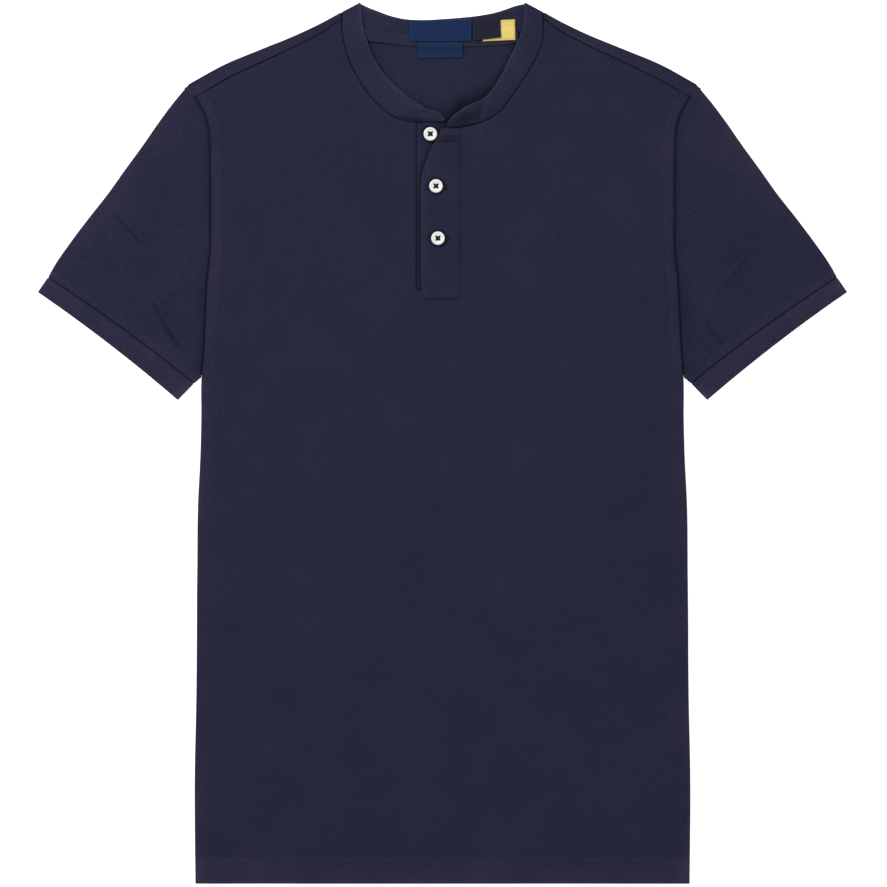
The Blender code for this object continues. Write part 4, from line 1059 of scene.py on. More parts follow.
def strip_relief(x, y):
    """Height of the buttonhole strip above the upper layer: lifted where it is undone, sunk at its
    stitched edges, with grooves under the stitching."""
    left = strip_edge(y, "x")
    share = np.clip((x - left) / (PLACKET_RIGHT - left), 0, 1)
    lifted_edge = 1.4 * strip_edge(y, "lift") * (1 - share) ** 2
    sewn_edge = 0.25 * MM * (1 - smoothstep((PLACKET_RIGHT - x) / (3.5 * MM)))
    lines = sum(groove(gap, FINE_GROOVE) for gap in (
        PLACKET_RIGHT - x - PLACKET_STITCH_INSET, y - BOX_TOP, y - BOX_FOOT))
    return OVERLAY + lifted_edge - sewn_edge + lines + button_pull(x, y, 1) - 0.35 * MM * hole_rim(x, y)


def strip_height(x, y):
    """Middle of the buttonhole strip, with fine wrinkles across it below its top."""
    wrinkles = 0.12 * MM * np.sin(2 * np.pi * (y + 0.06 * x) / (9.0 * MM))
    near_top = smoothstep((0.262 - y) / 0.02) * smoothstep((y - 0.225) / 0.02)
    return upper_height(x, y) + strip_relief(x, y) + wrinkles * near_top


def make_strip():
    """Buttonhole strip on top of the placket, with three slits cut through it."""
    top, foot = PLACKET_EDGE["y"][0], PLACKET_EDGE["y"][-1]
    rows = foot + (top - foot) * spaced(top - foot, SHORT_EDGE, SHORT_EDGE, 2.0 * MM)
    away = np.abs(rows[:, None] - HOLES["y"][None]).min(axis=1) > 2.2 * MM
    rows = np.sort(np.concatenate((rows[away], (HOLES["y"][:, None] + NEAR_HOLE).ravel())))
    across = spaced(STRIP_WIDTH, SHORT_EDGE, SHORT_EDGE, 1.1 * MM)
    left = strip_edge(rows, "x")[:, None]
    grid = lifted(pairs(left + across[None, :] * (PLACKET_RIGHT - left), rows[:, None]), strip_height)
    x, y = grid[..., 0], grid[..., 1]
    middle = (grid[:-1, :-1] + grid[1:, 1:]) / 2
    cut = np.zeros(middle.shape[:2], dtype=bool)
    inside = np.minimum(edge_distance(grid, "first top"), PRESSED * edge_distance(grid, "last bottom"))
    for from_x, to_x, hole_y in zip(*HOLES.values()):
        beside = np.abs(middle[..., 1] - hole_y) < HOLE_HALF_HEIGHT
        cut |= beside & (middle[..., 0] > from_x) & (middle[..., 0] < to_x)
        to_slit = distance_to(np.array(((from_x, hole_y), (to_x, hole_y))), x, y)
        inside = np.minimum(inside, np.clip(to_slit - HOLE_HALF_HEIGHT, 0, None))
    faces = grid_faces(*grid.shape[:2])[~cut.reshape(-1)]
    # Painted highlight on the rolled free edge, the top and the sewn edge; painted shade round the
    # buttonholes' whipping and round the buttons
    worn_and_painted_shading = 0.8 * fade_and_highlight(x - left, 4 * MM) + 0.3 * fade_and_highlight(top - y) + 0.1 * gaussian_falloff(PLACKET_RIGHT - x)
    worn_and_painted_shading -= 1.3 * hole_rim(x, y) + 1.6 * under_button(x, y, 1, RIM_SHADE_REACH)
    points, uv = grid.reshape(-1, 3), grid[..., :2].reshape(-1, 2)
    return cloth("placket_strip", points, faces, uv, inside.reshape(-1), WALL, worn_and_painted_shading.reshape(-1))


def stand_height(x, y):
    """Middle of the button stand: the upper layer with a stitched groove along its left edge."""
    from_edge = x - SLIT_LEFT - SEAM_GAP
    side, top = from_edge - STAND_STITCH, STAND_TOP - y - STAND_TOP_STITCH
    stitched = groove(side, FINE_GROOVE) + groove(top, FINE_GROOVE)
    return upper_height(x, y) + 0.1 * MM + stitched + button_pull(x, y, 0)


def make_stand():
    """Button stand, which fills the slit in the front."""
    across = spaced(STAND_WIDTH, SHORT_EDGE, SHORT_EDGE, 2.0 * MM)
    x = SLIT_LEFT + SEAM_GAP + across * (SLIT_RIGHT - SLIT_LEFT - 2 * SEAM_GAP)
    length = STAND_TOP - SLIT_END - 2 * SEAM_GAP
    y = SLIT_END + SEAM_GAP + length * spaced(length, SHORT_EDGE, SHORT_EDGE, 2.4 * MM)
    grid = lifted(pairs(x[None, :], y[:, None]), stand_height)
    x, y = grid[..., 0], grid[..., 1]
    # Painted shade where the strip covers the stand, beside the slit's seam and round the buttons
    shade_under_strip = smoothstep((x - strip_edge(y, "x") + 6 * MM) / (6 * MM))
    worn_and_painted_shading = 0.05 - 0.8 * shade_under_strip - 0.7 * gaussian_falloff(x - SLIT_LEFT)
    worn_and_painted_shading -= 1.6 * under_button(x, y, 0, RIM_SHADE_REACH)
    return grid_cloth("placket_stand", grid, grid[..., :2], WALL, worn_and_painted_shading)


# ---------------------------------------------------------------- seam turnings
TURNING_WALL = 0.2 * MM
TURNING_WIDTH, NECK_TURNING_WIDTH, CORNER_WIDTH = 10.0 * MM, 8.0 * MM, 4.0 * MM


def turning(path, height, width):
    """A narrow flat strip along a seam, inside the shirt."""
    across = width * np.array((-0.5, -0.44, -0.2, 0.0, 0.2, 0.44, 0.5))
    plan = np.stack([offset_path(path, distance) for distance in across], axis=1)
    return patch(np.dstack((plan, np.full(plan.shape[:2], height))), "first last bottom top")


def make_turnings():
    """Turned-in edges of the armhole, cuff and back neck seams and of the neck's corners, which
    close the gaps at the stitching."""
    lower, between = WALL + TURNING_WALL / 2 + 0.02 * MM, (LOW + HIGH) / 2
    armhole = resample(sleeve_armhole() - (ARMHOLE_GAP / 2, 0.0), FINE)
    reach = 0.8 * MM * unit(CUFF_LINE[-1] - CUFF_LINE[0])
    cuff = np.vstack((CUFF_LINE[:1] - reach, CUFF_LINE[1:-1], CUFF_LINE[-1:] + reach))
    corner_ends = SHOULDER_SEAM[0] - (0.5 * MM, 3.5 * MM), SHOULDER_OUTLINE[0] - (0.4 * MM, 0.45 * MM)
    corner = np.linspace(*corner_ends, 7)
    patches = [turning(BACK_NECK, lower, NECK_TURNING_WIDTH)]
    for path, height, width in (
            (armhole, lower, TURNING_WIDTH), (cuff, lower, TURNING_WIDTH), (corner, between, CORNER_WIDTH)):
        patches += [turning(path, height, width), turning(mirrored(path)[::-1], height, width)]
    points, faces, inside = join_patches(patches)
    # The turnings are painted at full shade
    worn_and_painted_shading = np.full(len(points), -1.0)
    return cloth("seam_turnings", points, faces, points[:, :2], inside, TURNING_WALL, worn_and_painted_shading)


# ---------------------------------------------------------------- tape and labels
def tape_middle(x):
    """Height along Y of the tape's middle."""
    return smooth_curve(x, TAPE["x"], TAPE["y"])


def make_tape():
    """Woven tape over the back neck seam, stitched along both edges."""
    start, end = TAPE["x"][0], TAPE["x"][-1]
    x = start + (end - start) * spaced(TAPE_LENGTH, LABEL_EDGE, LABEL_EDGE, 2.0 * MM)
    across = TAPE_WIDTH * (spaced(TAPE_WIDTH, NEAR_EDGE, NEAR_EDGE, 0.6 * MM) - 0.5)[:, None]
    plan = pairs(x[None, :], tape_middle(x)[None, :] + across)
    edge = TAPE_WIDTH / 2 - np.abs(across)
    height = LABEL_LOW + groove(edge - TAPE_STITCH, FINE_GROOVE) + np.zeros(plan.shape[:2])
    return grid_cloth("neck_tape_cloth", np.dstack((plan, height)), pairs(x[None, :], across), LABEL_WALL)


TAPE_X = np.linspace(TAPE["x"][0] + 2 * MM, TAPE["x"][-1] - 2 * MM, 60)


def tape_height(x, y):
    """Middle of the tape away from its stitched grooves."""
    return LABEL_LOW + 0 * x


def label_height(x, y):
    """Middle of a label that lies on the tape, or beside it on the lower layer."""
    beyond = np.abs(y - tape_middle(x)) - TAPE_WIDTH / 2
    on_tape = 1 - smoothstep((beyond - 0.3 * MM) / TAPE_RAMP)
    return LABEL_LOW + LABEL_OVERLAY * on_tape


def make_label(name):
    """A woven label between its four corners, settled on what is below it."""
    corners, beneath = LABELS[name], LABELS_BENEATH[name]
    left, right = columns_of(corners, "left_x", "left_y"), columns_of(corners, "right_x", "right_y")
    width, height = np.linalg.norm(right[0] - left[0]), np.linalg.norm(left[1] - left[0])
    across = spaced(width, LABEL_EDGE, LABEL_EDGE, 1.2 * MM)[None, :]
    down = spaced(height, LABEL_EDGE, LABEL_EDGE, 0.5 * MM)[:, None]
    left_edge = left[0] + down[..., None] * (left[1] - left[0])
    right_edge = right[0] + down[..., None] * (right[1] - right[0])
    plan = left_edge + across[..., None] * (right_edge - left_edge)
    bow = 0.12 * MM * np.sin(np.pi * across) * np.sin(np.pi * down)
    lift = label_height(plan[..., 0], plan[..., 1]) + beneath * LABEL_OVERLAY + bow
    uv = pairs(across * width, (1 - down) * height)
    return grid_cloth(f"{name}_cloth", np.dstack((plan, lift)), uv, LABEL_WALL)


# ---------------------------------------------------------------- thread
CAPSULE = table("along wide sunk", (
    (-1.0, 0.35, 1.5), (-0.8, 0.85, 0.5), (-0.35, 1.0, 0.0),
    (0.35, 1.0, 0.0), (0.8, 0.85, 0.5), (1.0, 0.35, 1.5),
))
SIDES = 6


def strands(name, starts, ends, radius, sink=1.0):
    """Short lengths of thread from starts to ends, joined in one mesh. Each is six rings of a
    hexagon along its line; the end rings are smaller, and sunk by up to the thread's radius."""
    starts, ends = np.atleast_2d(starts), np.atleast_2d(ends)
    middle, along = (starts + ends) / 2, (ends - starts) / 2
    side = unit(np.cross((0.0, 0.0, 1.0), along))
    up = unit(np.cross(along, side))
    turn = np.arange(SIDES) * 2 * np.pi / SIDES
    wide = radius * CAPSULE["wide"][:, None]
    rise = wide * np.sin(turn) * 0.8 - sink * radius * CAPSULE["sunk"][:, None]
    spread = wide * np.cos(turn)
    points = (
        middle[:, None, None] + CAPSULE["along"][None, :, None, None] * along[:, None, None]
        + spread[None, :, :, None] * side[:, None, None] + rise[None, :, :, None] * up[:, None, None])
    rings = len(CAPSULE["along"])
    sides = grid_faces(rings, SIDES, closed=True)
    cap = np.array(((0, 1, 2, 3), (0, 3, 4, 5)))
    faces = np.vstack((sides, cap, cap[:, ::-1] + (rings - 1) * SIDES))
    per_piece = rings * SIDES
    all_faces = (faces[None] + per_piece * np.arange(len(starts))[:, None, None]).reshape(-1, 4)
    flat = points.reshape(-1, 3)
    first = flat[all_faces[0]]
    outward = np.cross(first[2] - first[0], first[3] - first[1]) @ (first.mean(axis=0) - middle[0])
    if outward < 0:
        all_faces = all_faces[:, ::-1]
    return mesh_object(name, flat, all_faces, flat[:, :2])


def stitch_ends(path):
    """Both ends of each stitch along a path in space."""
    total, pitch = distances(path)[-1], STITCH_LENGTH + STITCH_GAP
    count = max(1, int(total / pitch))
    first = (np.arange(count) + 0.5 - 0.5 * STITCH_LENGTH / pitch) / count
    return resample(path, first), resample(path, first + STITCH_LENGTH / total)


def on_cloth(plan, height, wall=WALL, under=False):
    """A path on the cloth's outer skin, above its middle or under it."""
    middle = height(plan[:, 0], plan[:, 1])
    skin = middle + (-wall / 2 + 0.12 * MM if under else wall / 2 + 0.02 * MM)
    return np.column_stack((plan, skin))


def stitching(name, paths, thread=None):
    """All stitches along several paths, as one piece."""
    starts, ends = zip(*(stitch_ends(path) for path in paths))
    piece = strands(name, np.vstack(starts), np.vstack(ends), STITCH_RADIUS)
    return finished(piece, thread or THREAD)


# ---------------------------------------------------------------- buttons
BUTTON_PROFILE = table("radius height", (
    (0.02, 1.70), (1.2, 1.68), (2.4, 1.66), (3.1, 1.70), (3.55, 1.84), (3.9, 2.10), (4.2, 2.24),
    (4.55, 2.30), (4.9, 2.28), (5.25, 2.14), (5.5, 1.90), (5.65, 1.55), (5.7, 1.15), (5.65, 0.75),
    (5.5, 0.40), (5.2, 0.14), (4.7, 0.02), (3.0, 0.0), (0.02, 0.0),
))
BUTTON_TURNS = 56
HOLE_RADIUS, HOLE_SPACING, HOLE_SEGMENTS = 0.80 * MM, 3.0 * MM, 20
SHARP_ANGLE = math.radians(50.0)
THREAD_HEIGHT, THREAD_RISE = 1.95 * MM, 0.2 * MM  # above the button's underside
THREAD_TURNS = (8.0, -6.0, 4.0)  # degrees, so that no two buttons are sewn on alike


def button_bases():
    """Underside of each button, just clear of the cloth below it."""
    around = BUTTON_RADIUS * np.array((-1, 0, 0, 1)), BUTTON_RADIUS * np.array((0, -1, 1, 0))
    bases = []
    for x, y, layers in zip(*BUTTONS.values()):
        lift = ridges(x + around[0], y + around[1], SWELLS).max()
        bases.append(HIGH + layers * OVERLAY + WALL / 2 + LAYER_GAP + lift)
    return bases


def make_button(i, base):
    """A button turned from its profile: radius times the cosine and sine of the turn, and height.
    Four thread holes are bored through it."""
    x, y = BUTTONS["x"][i], BUTTONS["y"][i]
    turn = np.arange(BUTTON_TURNS) * 2 * np.pi / BUTTON_TURNS
    radius, height = BUTTON_PROFILE["radius"] * MM, BUTTON_PROFILE["height"] * MM
    ring = np.stack((np.outer(radius, np.cos(turn)), np.outer(radius, np.sin(turn))), axis=-1)
    grid = np.dstack((ring + (x, y), np.broadcast_to(base + height[:, None], ring.shape[:2])))
    faces = grid_faces(*grid.shape[:2], closed=True)[:, ::-1]
    button = mesh_object(f"button_{i + 1}_turned", grid.reshape(-1, 3), faces)
    work = bmesh.new()
    work.from_mesh(button.data)
    bmesh.ops.holes_fill(work, edges=[edge for edge in work.edges if edge.is_boundary], sides=0)
    bmesh.ops.recalc_face_normals(work, faces=work.faces)
    work.to_mesh(button.data)
    work.free()
    half = HOLE_SPACING / 2
    for across, upwards in ((-half, -half), (half, -half), (-half, half), (half, half)):
        cut_hole(button, (x + across, y + upwards, base + BUTTON_HEIGHT / 2))
    button.data.shade_smooth()
    button.data.set_sharp_from_angle(angle=SHARP_ANGLE)
    return button


def cut_hole(button, place):
    """Bore one thread hole through a button."""
    work = bmesh.new()
    bmesh.ops.create_cone(
        work, cap_ends=True, segments=HOLE_SEGMENTS, radius1=HOLE_RADIUS, radius2=HOLE_RADIUS,
        depth=3 * BUTTON_HEIGHT)
    bmesh.ops.translate(work, verts=work.verts, vec=place)
    mesh = bpy.data.meshes.new("hole")
    work.to_mesh(mesh)
    work.free()
    cutter = linked("hole", mesh)
    cut = button.modifiers.new("hole", "BOOLEAN")
    cut.object = cutter
    bpy.context.view_layer.update()
    done = bpy.data.meshes.new_from_object(button.evaluated_get(bpy.context.evaluated_depsgraph_get()))
    button.modifiers.clear()
    button.data = done
    bpy.data.objects.remove(cutter)


def button_thread(i, base):
    """Crossed strands of thread in a button's dish, from hole to hole."""
    turn, half = math.radians(THREAD_TURNS[i]), HOLE_SPACING / 2
    starts, ends = [], []
    for way in (-1, 1):
        for beside in (-0.4 * MM, 0.0, 0.4 * MM):
            shift = np.array((-way * beside, beside))
            starts.append(shift - (half, half * way))
            ends.append(shift + (half, half * way))
    rotation = np.array(((math.cos(turn), math.sin(turn)), (-math.sin(turn), math.cos(turn))))
    height = base + THREAD_HEIGHT + THREAD_RISE * np.repeat((0, 1), 3)
    middle = (BUTTONS["x"][i], BUTTONS["y"][i])
    starts, ends = (np.column_stack((np.array(side) @ rotation + middle, height)) for side in (starts, ends))
    return strands(f"button_{i + 1}_thread", starts, ends, 0.48 * MM, sink=1.6)


# ---------------------------------------------------------------- finishes
def node(tree, kind, **settings):
    """A shader node with its properties, and its inputs by number or name after an underscore."""
    made = tree.nodes.new(kind)
    for key, value in settings.items():
        if key.startswith("in_"):
            name = key[3:].replace("_", " ")
            socket = made.inputs[int(name)] if name.isdigit() else made.inputs[name]
            if isinstance(value, bpy.types.NodeSocket):
                tree.links.new(value, socket)
            else:
                socket.default_value = value
        else:
            setattr(made, key, value)
    return made


def math_node(tree, operation, first, second=0.0, third=0.0):
    """The result of one sum on numbers or sockets."""
    return node(tree, "ShaderNodeMath", operation=operation, in_0=first, in_1=second, in_2=third).outputs[0]


def new_finish(name, roughness, **sockets):
    """A material whose shader has the given settings, with underscores for spaces."""
    material = bpy.data.materials.new(name)
    material.use_nodes = True
    tree = material.node_tree
    shader = tree.nodes["Principled BSDF"]
    shader.inputs["Roughness"].default_value = roughness
    for key, value in sockets.items():
        shader.inputs[key.replace("_", " ")].default_value = value
    return material, tree, shader


def blend_colours(tree, share, low, high):
    """Between two colours, by a share from 0 to 1."""
    mix = node(tree, "ShaderNodeMix", data_type="RGBA")
    tree.links.new(share, mix.inputs[0])
    for socket, value in ((mix.inputs[6], low), (mix.inputs[7], high)):
        if isinstance(value, bpy.types.NodeSocket):
            tree.links.new(value, socket)
        else:
            socket.default_value = (*value, 1.0)
    return mix.outputs[2]


def noise(tree, places, scale, detail=2.0, roughness=0.5):
    """Soft noise at so many turns a metre."""
    return node(
        tree, "ShaderNodeTexNoise", in_Vector=places, in_Scale=scale, in_Detail=detail,
        in_Roughness=roughness).outputs[0]


def bumped(tree, shader, strength, depth, height):
    """Give a shader relief of so much depth."""
    bump = node(tree, "ShaderNodeBump", in_Strength=strength, in_Distance=depth, in_Height=height)
    tree.links.new(bump.outputs[0], shader.inputs["Normal"])


def crossed_waves(tree, wave, split, across, up):
    """The product of two waves over the cloth, from 0 to 1, as (1 + wave(x) wave(y)) / 2."""
    u = math_node(tree, wave, math_node(tree, "MULTIPLY", split.outputs[0], 2 * math.pi / across))
    v = math_node(tree, wave, math_node(tree, "MULTIPLY", split.outputs[1], 2 * math.pi / up))
    return math_node(tree, "MULTIPLY_ADD", math_node(tree, "MULTIPLY", u, v), 0.5, 0.5)


NAVY = np.array((0.0172, 0.0182, 0.0405))
FADED_AND_HIGHLIT = np.array((1.90, 1.30, 1.22))  # how much paler and redder the dye is where wearing pales it, also as painted highlight on edges and rims
BAND_WEAR_AND_HIGHLIGHT = np.array((1.95, 1.72, 1.50))  # and on the neckband, whose painted edge highlight is less red
PAINTED_SHADE_TINT = np.array((0.30, 0.44, 0.40))  # how much darker and less red the painted shade is, most in a seam
KNIT_ACROSS, KNIT_UP = 1.8 * MM, 2.0 * MM  # one repeat of the open pique knit
FINE_KNIT = 1.3 * MM, 1.5 * MM  # and of the closer knit of the bands
BORDER_INSET, BORDER_HALF_WIDTH = 1.3 * MM, 0.28 * MM


def knit_finish(name, colour, roughness, across=KNIT_ACROSS, up=KNIT_UP, paled_and_lit_to=FADED_AND_HIGHLIT):
    """Open pique knit: bumps and holes in staggered rows, the product of two cosines, made uneven
    by noise, with painted shade in the holes. Its dye has slow patches and pales by wearing towards edges,
    with painted highlight on the edges, most on their very rims, and painted shade in seams."""
    material, tree, shader = new_finish(
        name, roughness, Sheen_Weight=0.03, Sheen_Roughness=0.45, Specular_IOR_Level=0.06,
        Sheen_Tint=(0.75, 0.62, 0.80, 1.0))
    places = node(tree, "ShaderNodeUVMap", uv_map="cloth").outputs[0]
    body = node(tree, "ShaderNodeTexCoord").outputs["Object"]
    shake = node(tree, "ShaderNodeTexNoise", in_Vector=places, in_Scale=420.0, in_Detail=1.0).outputs[1]
    shake = node(tree, "ShaderNodeVectorMath", operation="SCALE", in_0=shake, in_Scale=0.55 * MM).outputs[0]
    moved = node(tree, "ShaderNodeVectorMath", operation="ADD", in_0=places, in_1=shake).outputs[0]
    split = node(tree, "ShaderNodeSeparateXYZ", in_0=moved)
    cells = crossed_waves(tree, "COSINE", split, across, up)
    fine = noise(tree, body, 2600.0, 3.0, 0.6)
    stitches = noise(tree, places, 520.0, 2.0, 0.6)
    middle = noise(tree, body, 210.0, 3.0, 0.6)
    slow = noise(tree, body, 22.0, 3.0, 0.55)
    height = math_node(tree, "ADD", cells, math_node(tree, "MULTIPLY", fine, 0.45))
    height = math_node(tree, "MULTIPLY_ADD", stitches, 0.8, height)
    bumped(tree, shader, 0.6, 0.16 * MM, height)
    # The knit's holes get a darker colour: painted shade in them, on top of the noise's uneven tone
    level = math_node(tree, "MULTIPLY_ADD", cells, 1.0, 0.18)
    for pattern, share in ((stitches, 1.2), (middle, 0.35), (slow, 0.3), (fine, 0.6)):
        level = math_node(tree, "MULTIPLY_ADD", math_node(tree, "SUBTRACT", pattern, 0.5), share, level)
    # The attribute: paling by wearing and painted highlight above 0, painted shade below 0
    wear_and_painted_shading = node(tree, "ShaderNodeAttribute", attribute_name="wear_and_painted_shading").outputs["Fac"]
    drift = math_node(tree, "MULTIPLY_ADD", math_node(tree, "SUBTRACT", slow, 0.5), 0.8, wear_and_painted_shading)
    paled_and_lit = math_node(tree, "MAXIMUM", drift, 0.0)
    # A painted highlight on the very rims of edges
    rim_highlight = math_node(tree, "MULTIPLY", math_node(tree, "POWER", paled_and_lit, 7.0), 0.45)
    patchy = math_node(tree, "MULTIPLY_ADD", slow, 0.9, 0.1)
    paled_and_lit = math_node(tree, "MULTIPLY_ADD", paled_and_lit, patchy, rim_highlight)
    # Share of painted shade, which gives a darker, less red colour
    shade_share = math_node(tree, "MULTIPLY", wear_and_painted_shading, -1.0)
    dye = blend_colours(tree, level, 0.35 * colour, 1.3 * colour)
    pale = blend_colours(tree, level, 0.5 * colour * paled_and_lit_to, 1.3 * colour * paled_and_lit_to)
    dark = blend_colours(tree, level, 0.5 * colour * PAINTED_SHADE_TINT, 1.2 * colour * PAINTED_SHADE_TINT)
    base = blend_colours(tree, shade_share, blend_colours(tree, paled_and_lit, dye, pale), dark)
    tree.links.new(base, shader.inputs["Base Color"])
    return material


def thread_finish(name, colour):
    """Twisted thread: a fine ripple along the plan."""
    material, tree, shader = new_finish(name, 0.75, Sheen_Weight=0.03, Specular_IOR_Level=0.1)
    body = node(tree, "ShaderNodeTexCoord").outputs["Object"]
    ply = noise(tree, body, 5200.0, 1.0)
    bumped(tree, shader, 0.5, 0.05 * MM, ply)
    base = blend_colours(tree, ply, tuple(0.7 * c for c in colour), tuple(1.3 * c for c in colour))
    tree.links.new(base, shader.inputs["Base Color"])
    return material


def woven_finish(name, colour, pitch, size=None, border=None):
    """Ribbon weave: fine ribs across and along, the product of two sines, and where size is given
    a line of another colour inside the edges."""
    material, tree, shader = new_finish(name, 0.6, Sheen_Weight=0.02, Specular_IOR_Level=0.08)
    places = node(tree, "ShaderNodeUVMap", uv_map="cloth").outputs[0]
    split = node(tree, "ShaderNodeSeparateXYZ", in_0=places)
    weave = crossed_waves(tree, "SINE", split, pitch, pitch)
    body = node(tree, "ShaderNodeTexCoord").outputs["Object"]
    fine = noise(tree, body, 900.0, 3.0, 0.6)
    bumped(tree, shader, 0.5, 0.06 * MM, weave)
    shade = math_node(tree, "MULTIPLY_ADD", fine, 0.5, math_node(tree, "MULTIPLY_ADD", weave, 0.4, 0.3))
    base = blend_colours(tree, shade, tuple(0.7 * c for c in colour), tuple(1.25 * c for c in colour))
    if border:
        width, height = size
        nearest = None
        for place, length in ((split.outputs[0], width), (split.outputs[1], height)):
            middle = math_node(tree, "ABSOLUTE", math_node(tree, "SUBTRACT", place, length / 2))
            inside = math_node(tree, "SUBTRACT", length / 2, middle)
            nearest = inside if nearest is None else math_node(tree, "MINIMUM", nearest, inside)
        off = math_node(tree, "ABSOLUTE", math_node(tree, "SUBTRACT", nearest, BORDER_INSET))
        line = math_node(tree, "LESS_THAN", off, BORDER_HALF_WIDTH)
        base = blend_colours(tree, line, base, border)
    tree.links.new(base, shader.inputs["Base Color"])
    return material


def button_finish():
    """Polished off-white resin with a faint cloud in it."""
    material, tree, shader = new_finish(
        "off-white resin", 0.28, Coat_Weight=0.35, Coat_Roughness=0.12, Subsurface_Weight=0.15,
        Subsurface_Radius=(1.0, 0.9, 0.7), Subsurface_Scale=1.2 * MM)
    body = node(tree, "ShaderNodeTexCoord").outputs["Object"]
    cloud = noise(tree, body, 160.0, 3.0, 0.6)
    base = blend_colours(tree, cloud, (0.69, 0.70, 0.66), (0.82, 0.83, 0.79))
    tree.links.new(base, shader.inputs["Base Color"])
    return material


def plain_finish(name, colour, roughness, glow):
    """A plain matt finish, lit from within as a light table is."""
    return new_finish(
        name, roughness, Emission_Strength=glow, Base_Color=(*colour, 1.0),
        Emission_Color=(1.0, 1.0, 1.0, 1.0))[0]


KNIT = knit_finish("navy open knit", NAVY, 0.92)
CUFF_KNIT = knit_finish("navy cuff knit", 1.08 * NAVY, 0.9, *FINE_KNIT)
BAND_KNIT = knit_finish("navy band knit", 1.08 * NAVY, 0.9, *FINE_KNIT, BAND_WEAR_AND_HIGHLIGHT)
THREAD = thread_finish("navy thread", (0.032, 0.030, 0.056))
FINE_THREAD = thread_finish("fine navy thread", (0.021, 0.021, 0.042))
BUTTON_THREAD = thread_finish("dark button thread", (0.009, 0.011, 0.010))
TAPE_WEAVE = woven_finish("navy tape weave", (0.0152, 0.0160, 0.0360), 0.5 * MM)
LABEL_WEAVES = {
    "label_main": woven_finish(
        "blue label weave", (0.0057, 0.0173, 0.062), 0.34 * MM, (0.0525, 0.0182), (0.010, 0.026, 0.078)),
    "label_small": woven_finish(
        "blue small label weave", (0.0062, 0.0175, 0.055), 0.34 * MM, (0.0382, 0.0132),
        (0.010, 0.025, 0.070)),
    "label_care": woven_finish(
        "dark ribbon weave", (0.011, 0.010, 0.021), 0.3 * MM, (0.0236, 0.0182), (0.018, 0.017, 0.030)),
    "label_size": woven_finish(
        "yellow ribbon weave", (0.62, 0.49, 0.14), 0.3 * MM, (0.0272, 0.0174), (0.50, 0.37, 0.09)),
}


# ---------------------------------------------------------------- assembly
def finished(piece, material):
    """Give a piece its material and its place on the one body."""
    piece.data.materials.clear()
    piece.data.materials.append(material)
    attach(piece, "root")
    return piece


def cloth_piece(piece, node_name, material):
    """A finished piece of cloth that stands for a solid, which it hides."""
    finished(piece, material)
    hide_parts(node_name)
    return piece


def make_cloth_pieces():
    """Every piece of cloth, with the flat sizes and areas measured off the photo."""
    back = cloth_piece(make_back(), "back", KNIT)
    front = cloth_piece(make_front(), "front", KNIT)
    for side, sign in (("left", 1.0), ("right", -1.0)):
        sleeve = make_tube(
            f"sleeve_{side}_cloth", sleeve_plan(), sleeve_height, sleeve_under, sign, CUFF_STITCH + 1 * MM)
        cloth_piece(sleeve, f"sleeve_{side}", KNIT)
        cuff = make_tube(f"cuff_{side}_cloth", cuff_plan(), cuff_height, cuff_under, sign, 17 * MM)
        cloth_piece(cuff, f"cuff_{side}", CUFF_KNIT)
    turnings = finished(make_turnings(), KNIT)
    cloth_piece(make_band(), "neckband", BAND_KNIT)
    cloth_piece(make_stand(), "placket_under", KNIT)
    cloth_piece(make_strip(), "placket_top", KNIT)
    cloth_piece(make_tape(), "neck_tape", TAPE_WEAVE)
    for name in LABELS:
        cloth_piece(
            make_label(name), name, LABEL_WEAVES[name])


def line_beside(path, distance, sign):
    """A path in plan, moved sideways and put on the wearer's left (1) or right (-1)."""
    return offset_path(path, distance) * (sign, 1.0)


def both_layers(line, over, under):
    """A line in plan laid on the upper layer and, under it, on the lower one."""
    return [on_cloth(line, over), on_cloth(line, under, under=True)]


def make_stitching():
    """Every stitched line."""
    hem_x = np.linspace(-1, 1, 90) * (body_half_width(HEM) - 3 * MM)
    hem = pairs(hem_x, HEM + HEM_DEPTH - HEM_STITCH)
    stitching("hem_stitches", both_layers(hem, front_height, back_height))
    armhole = armhole_path(np.linspace(UNDERARM[1] + 9 * MM, SHOULDER_Y - 2 * MM, 60))
    seam = resample(SHOULDER_SEAM, np.linspace(0.03, 0.97, 50))
    cuff = cuff_seam(np.linspace(0.02, 0.98, 50))
    armholes, shoulders, cuffs = [], [], []
    for sign in (1.0, -1.0):
        fell = line_beside(armhole, FELL_STITCH - FELL_WIDTH, sign)
        armholes += both_layers(fell, front_height, back_height)
        for distance, first in zip(SHOULDER_STITCHES, (0, 12)):
            shoulders.append(on_cloth(line_beside(seam, -distance, sign)[first:], shoulder_height))
        cuffs += both_layers(line_beside(cuff, -CUFF_STITCH, sign), sleeve_height, sleeve_under)
    stitching("armhole_stitches", armholes)
    stitching("shoulder_stitches", shoulders)
    left = LEFT_NECK[LEFT_NECK[:, 0] > SLIT_RIGHT + 7 * MM]
    right = RIGHT_NECK[RIGHT_NECK[:, 0] < SLIT_LEFT - 1 * MM]
    neck = [on_cloth(offset_path(line, NECK_STITCH), front_height) for line in (left, right)]
    neck.append(on_cloth(offset_path(BACK_NECK, -NECK_STITCH), back_height, under=True))
    stitching("neck_stitches", neck, FINE_THREAD)
    stitching("cuff_stitches", cuffs)
    sewn, box = placket_lines()
    stitching("placket_stitches", sewn, FINE_THREAD)
    stitching("placket_box_stitches", box)
    stitching("stand_stitches", stand_lines(), FINE_THREAD)
    reach = TAPE_WIDTH / 2 - TAPE_STITCH
    tape = [on_cloth(pairs(TAPE_X, tape_middle(TAPE_X) + across), tape_height, LABEL_WALL)
            for across in (-reach, reach)]
    stitching("tape_stitches", tape, THREAD)


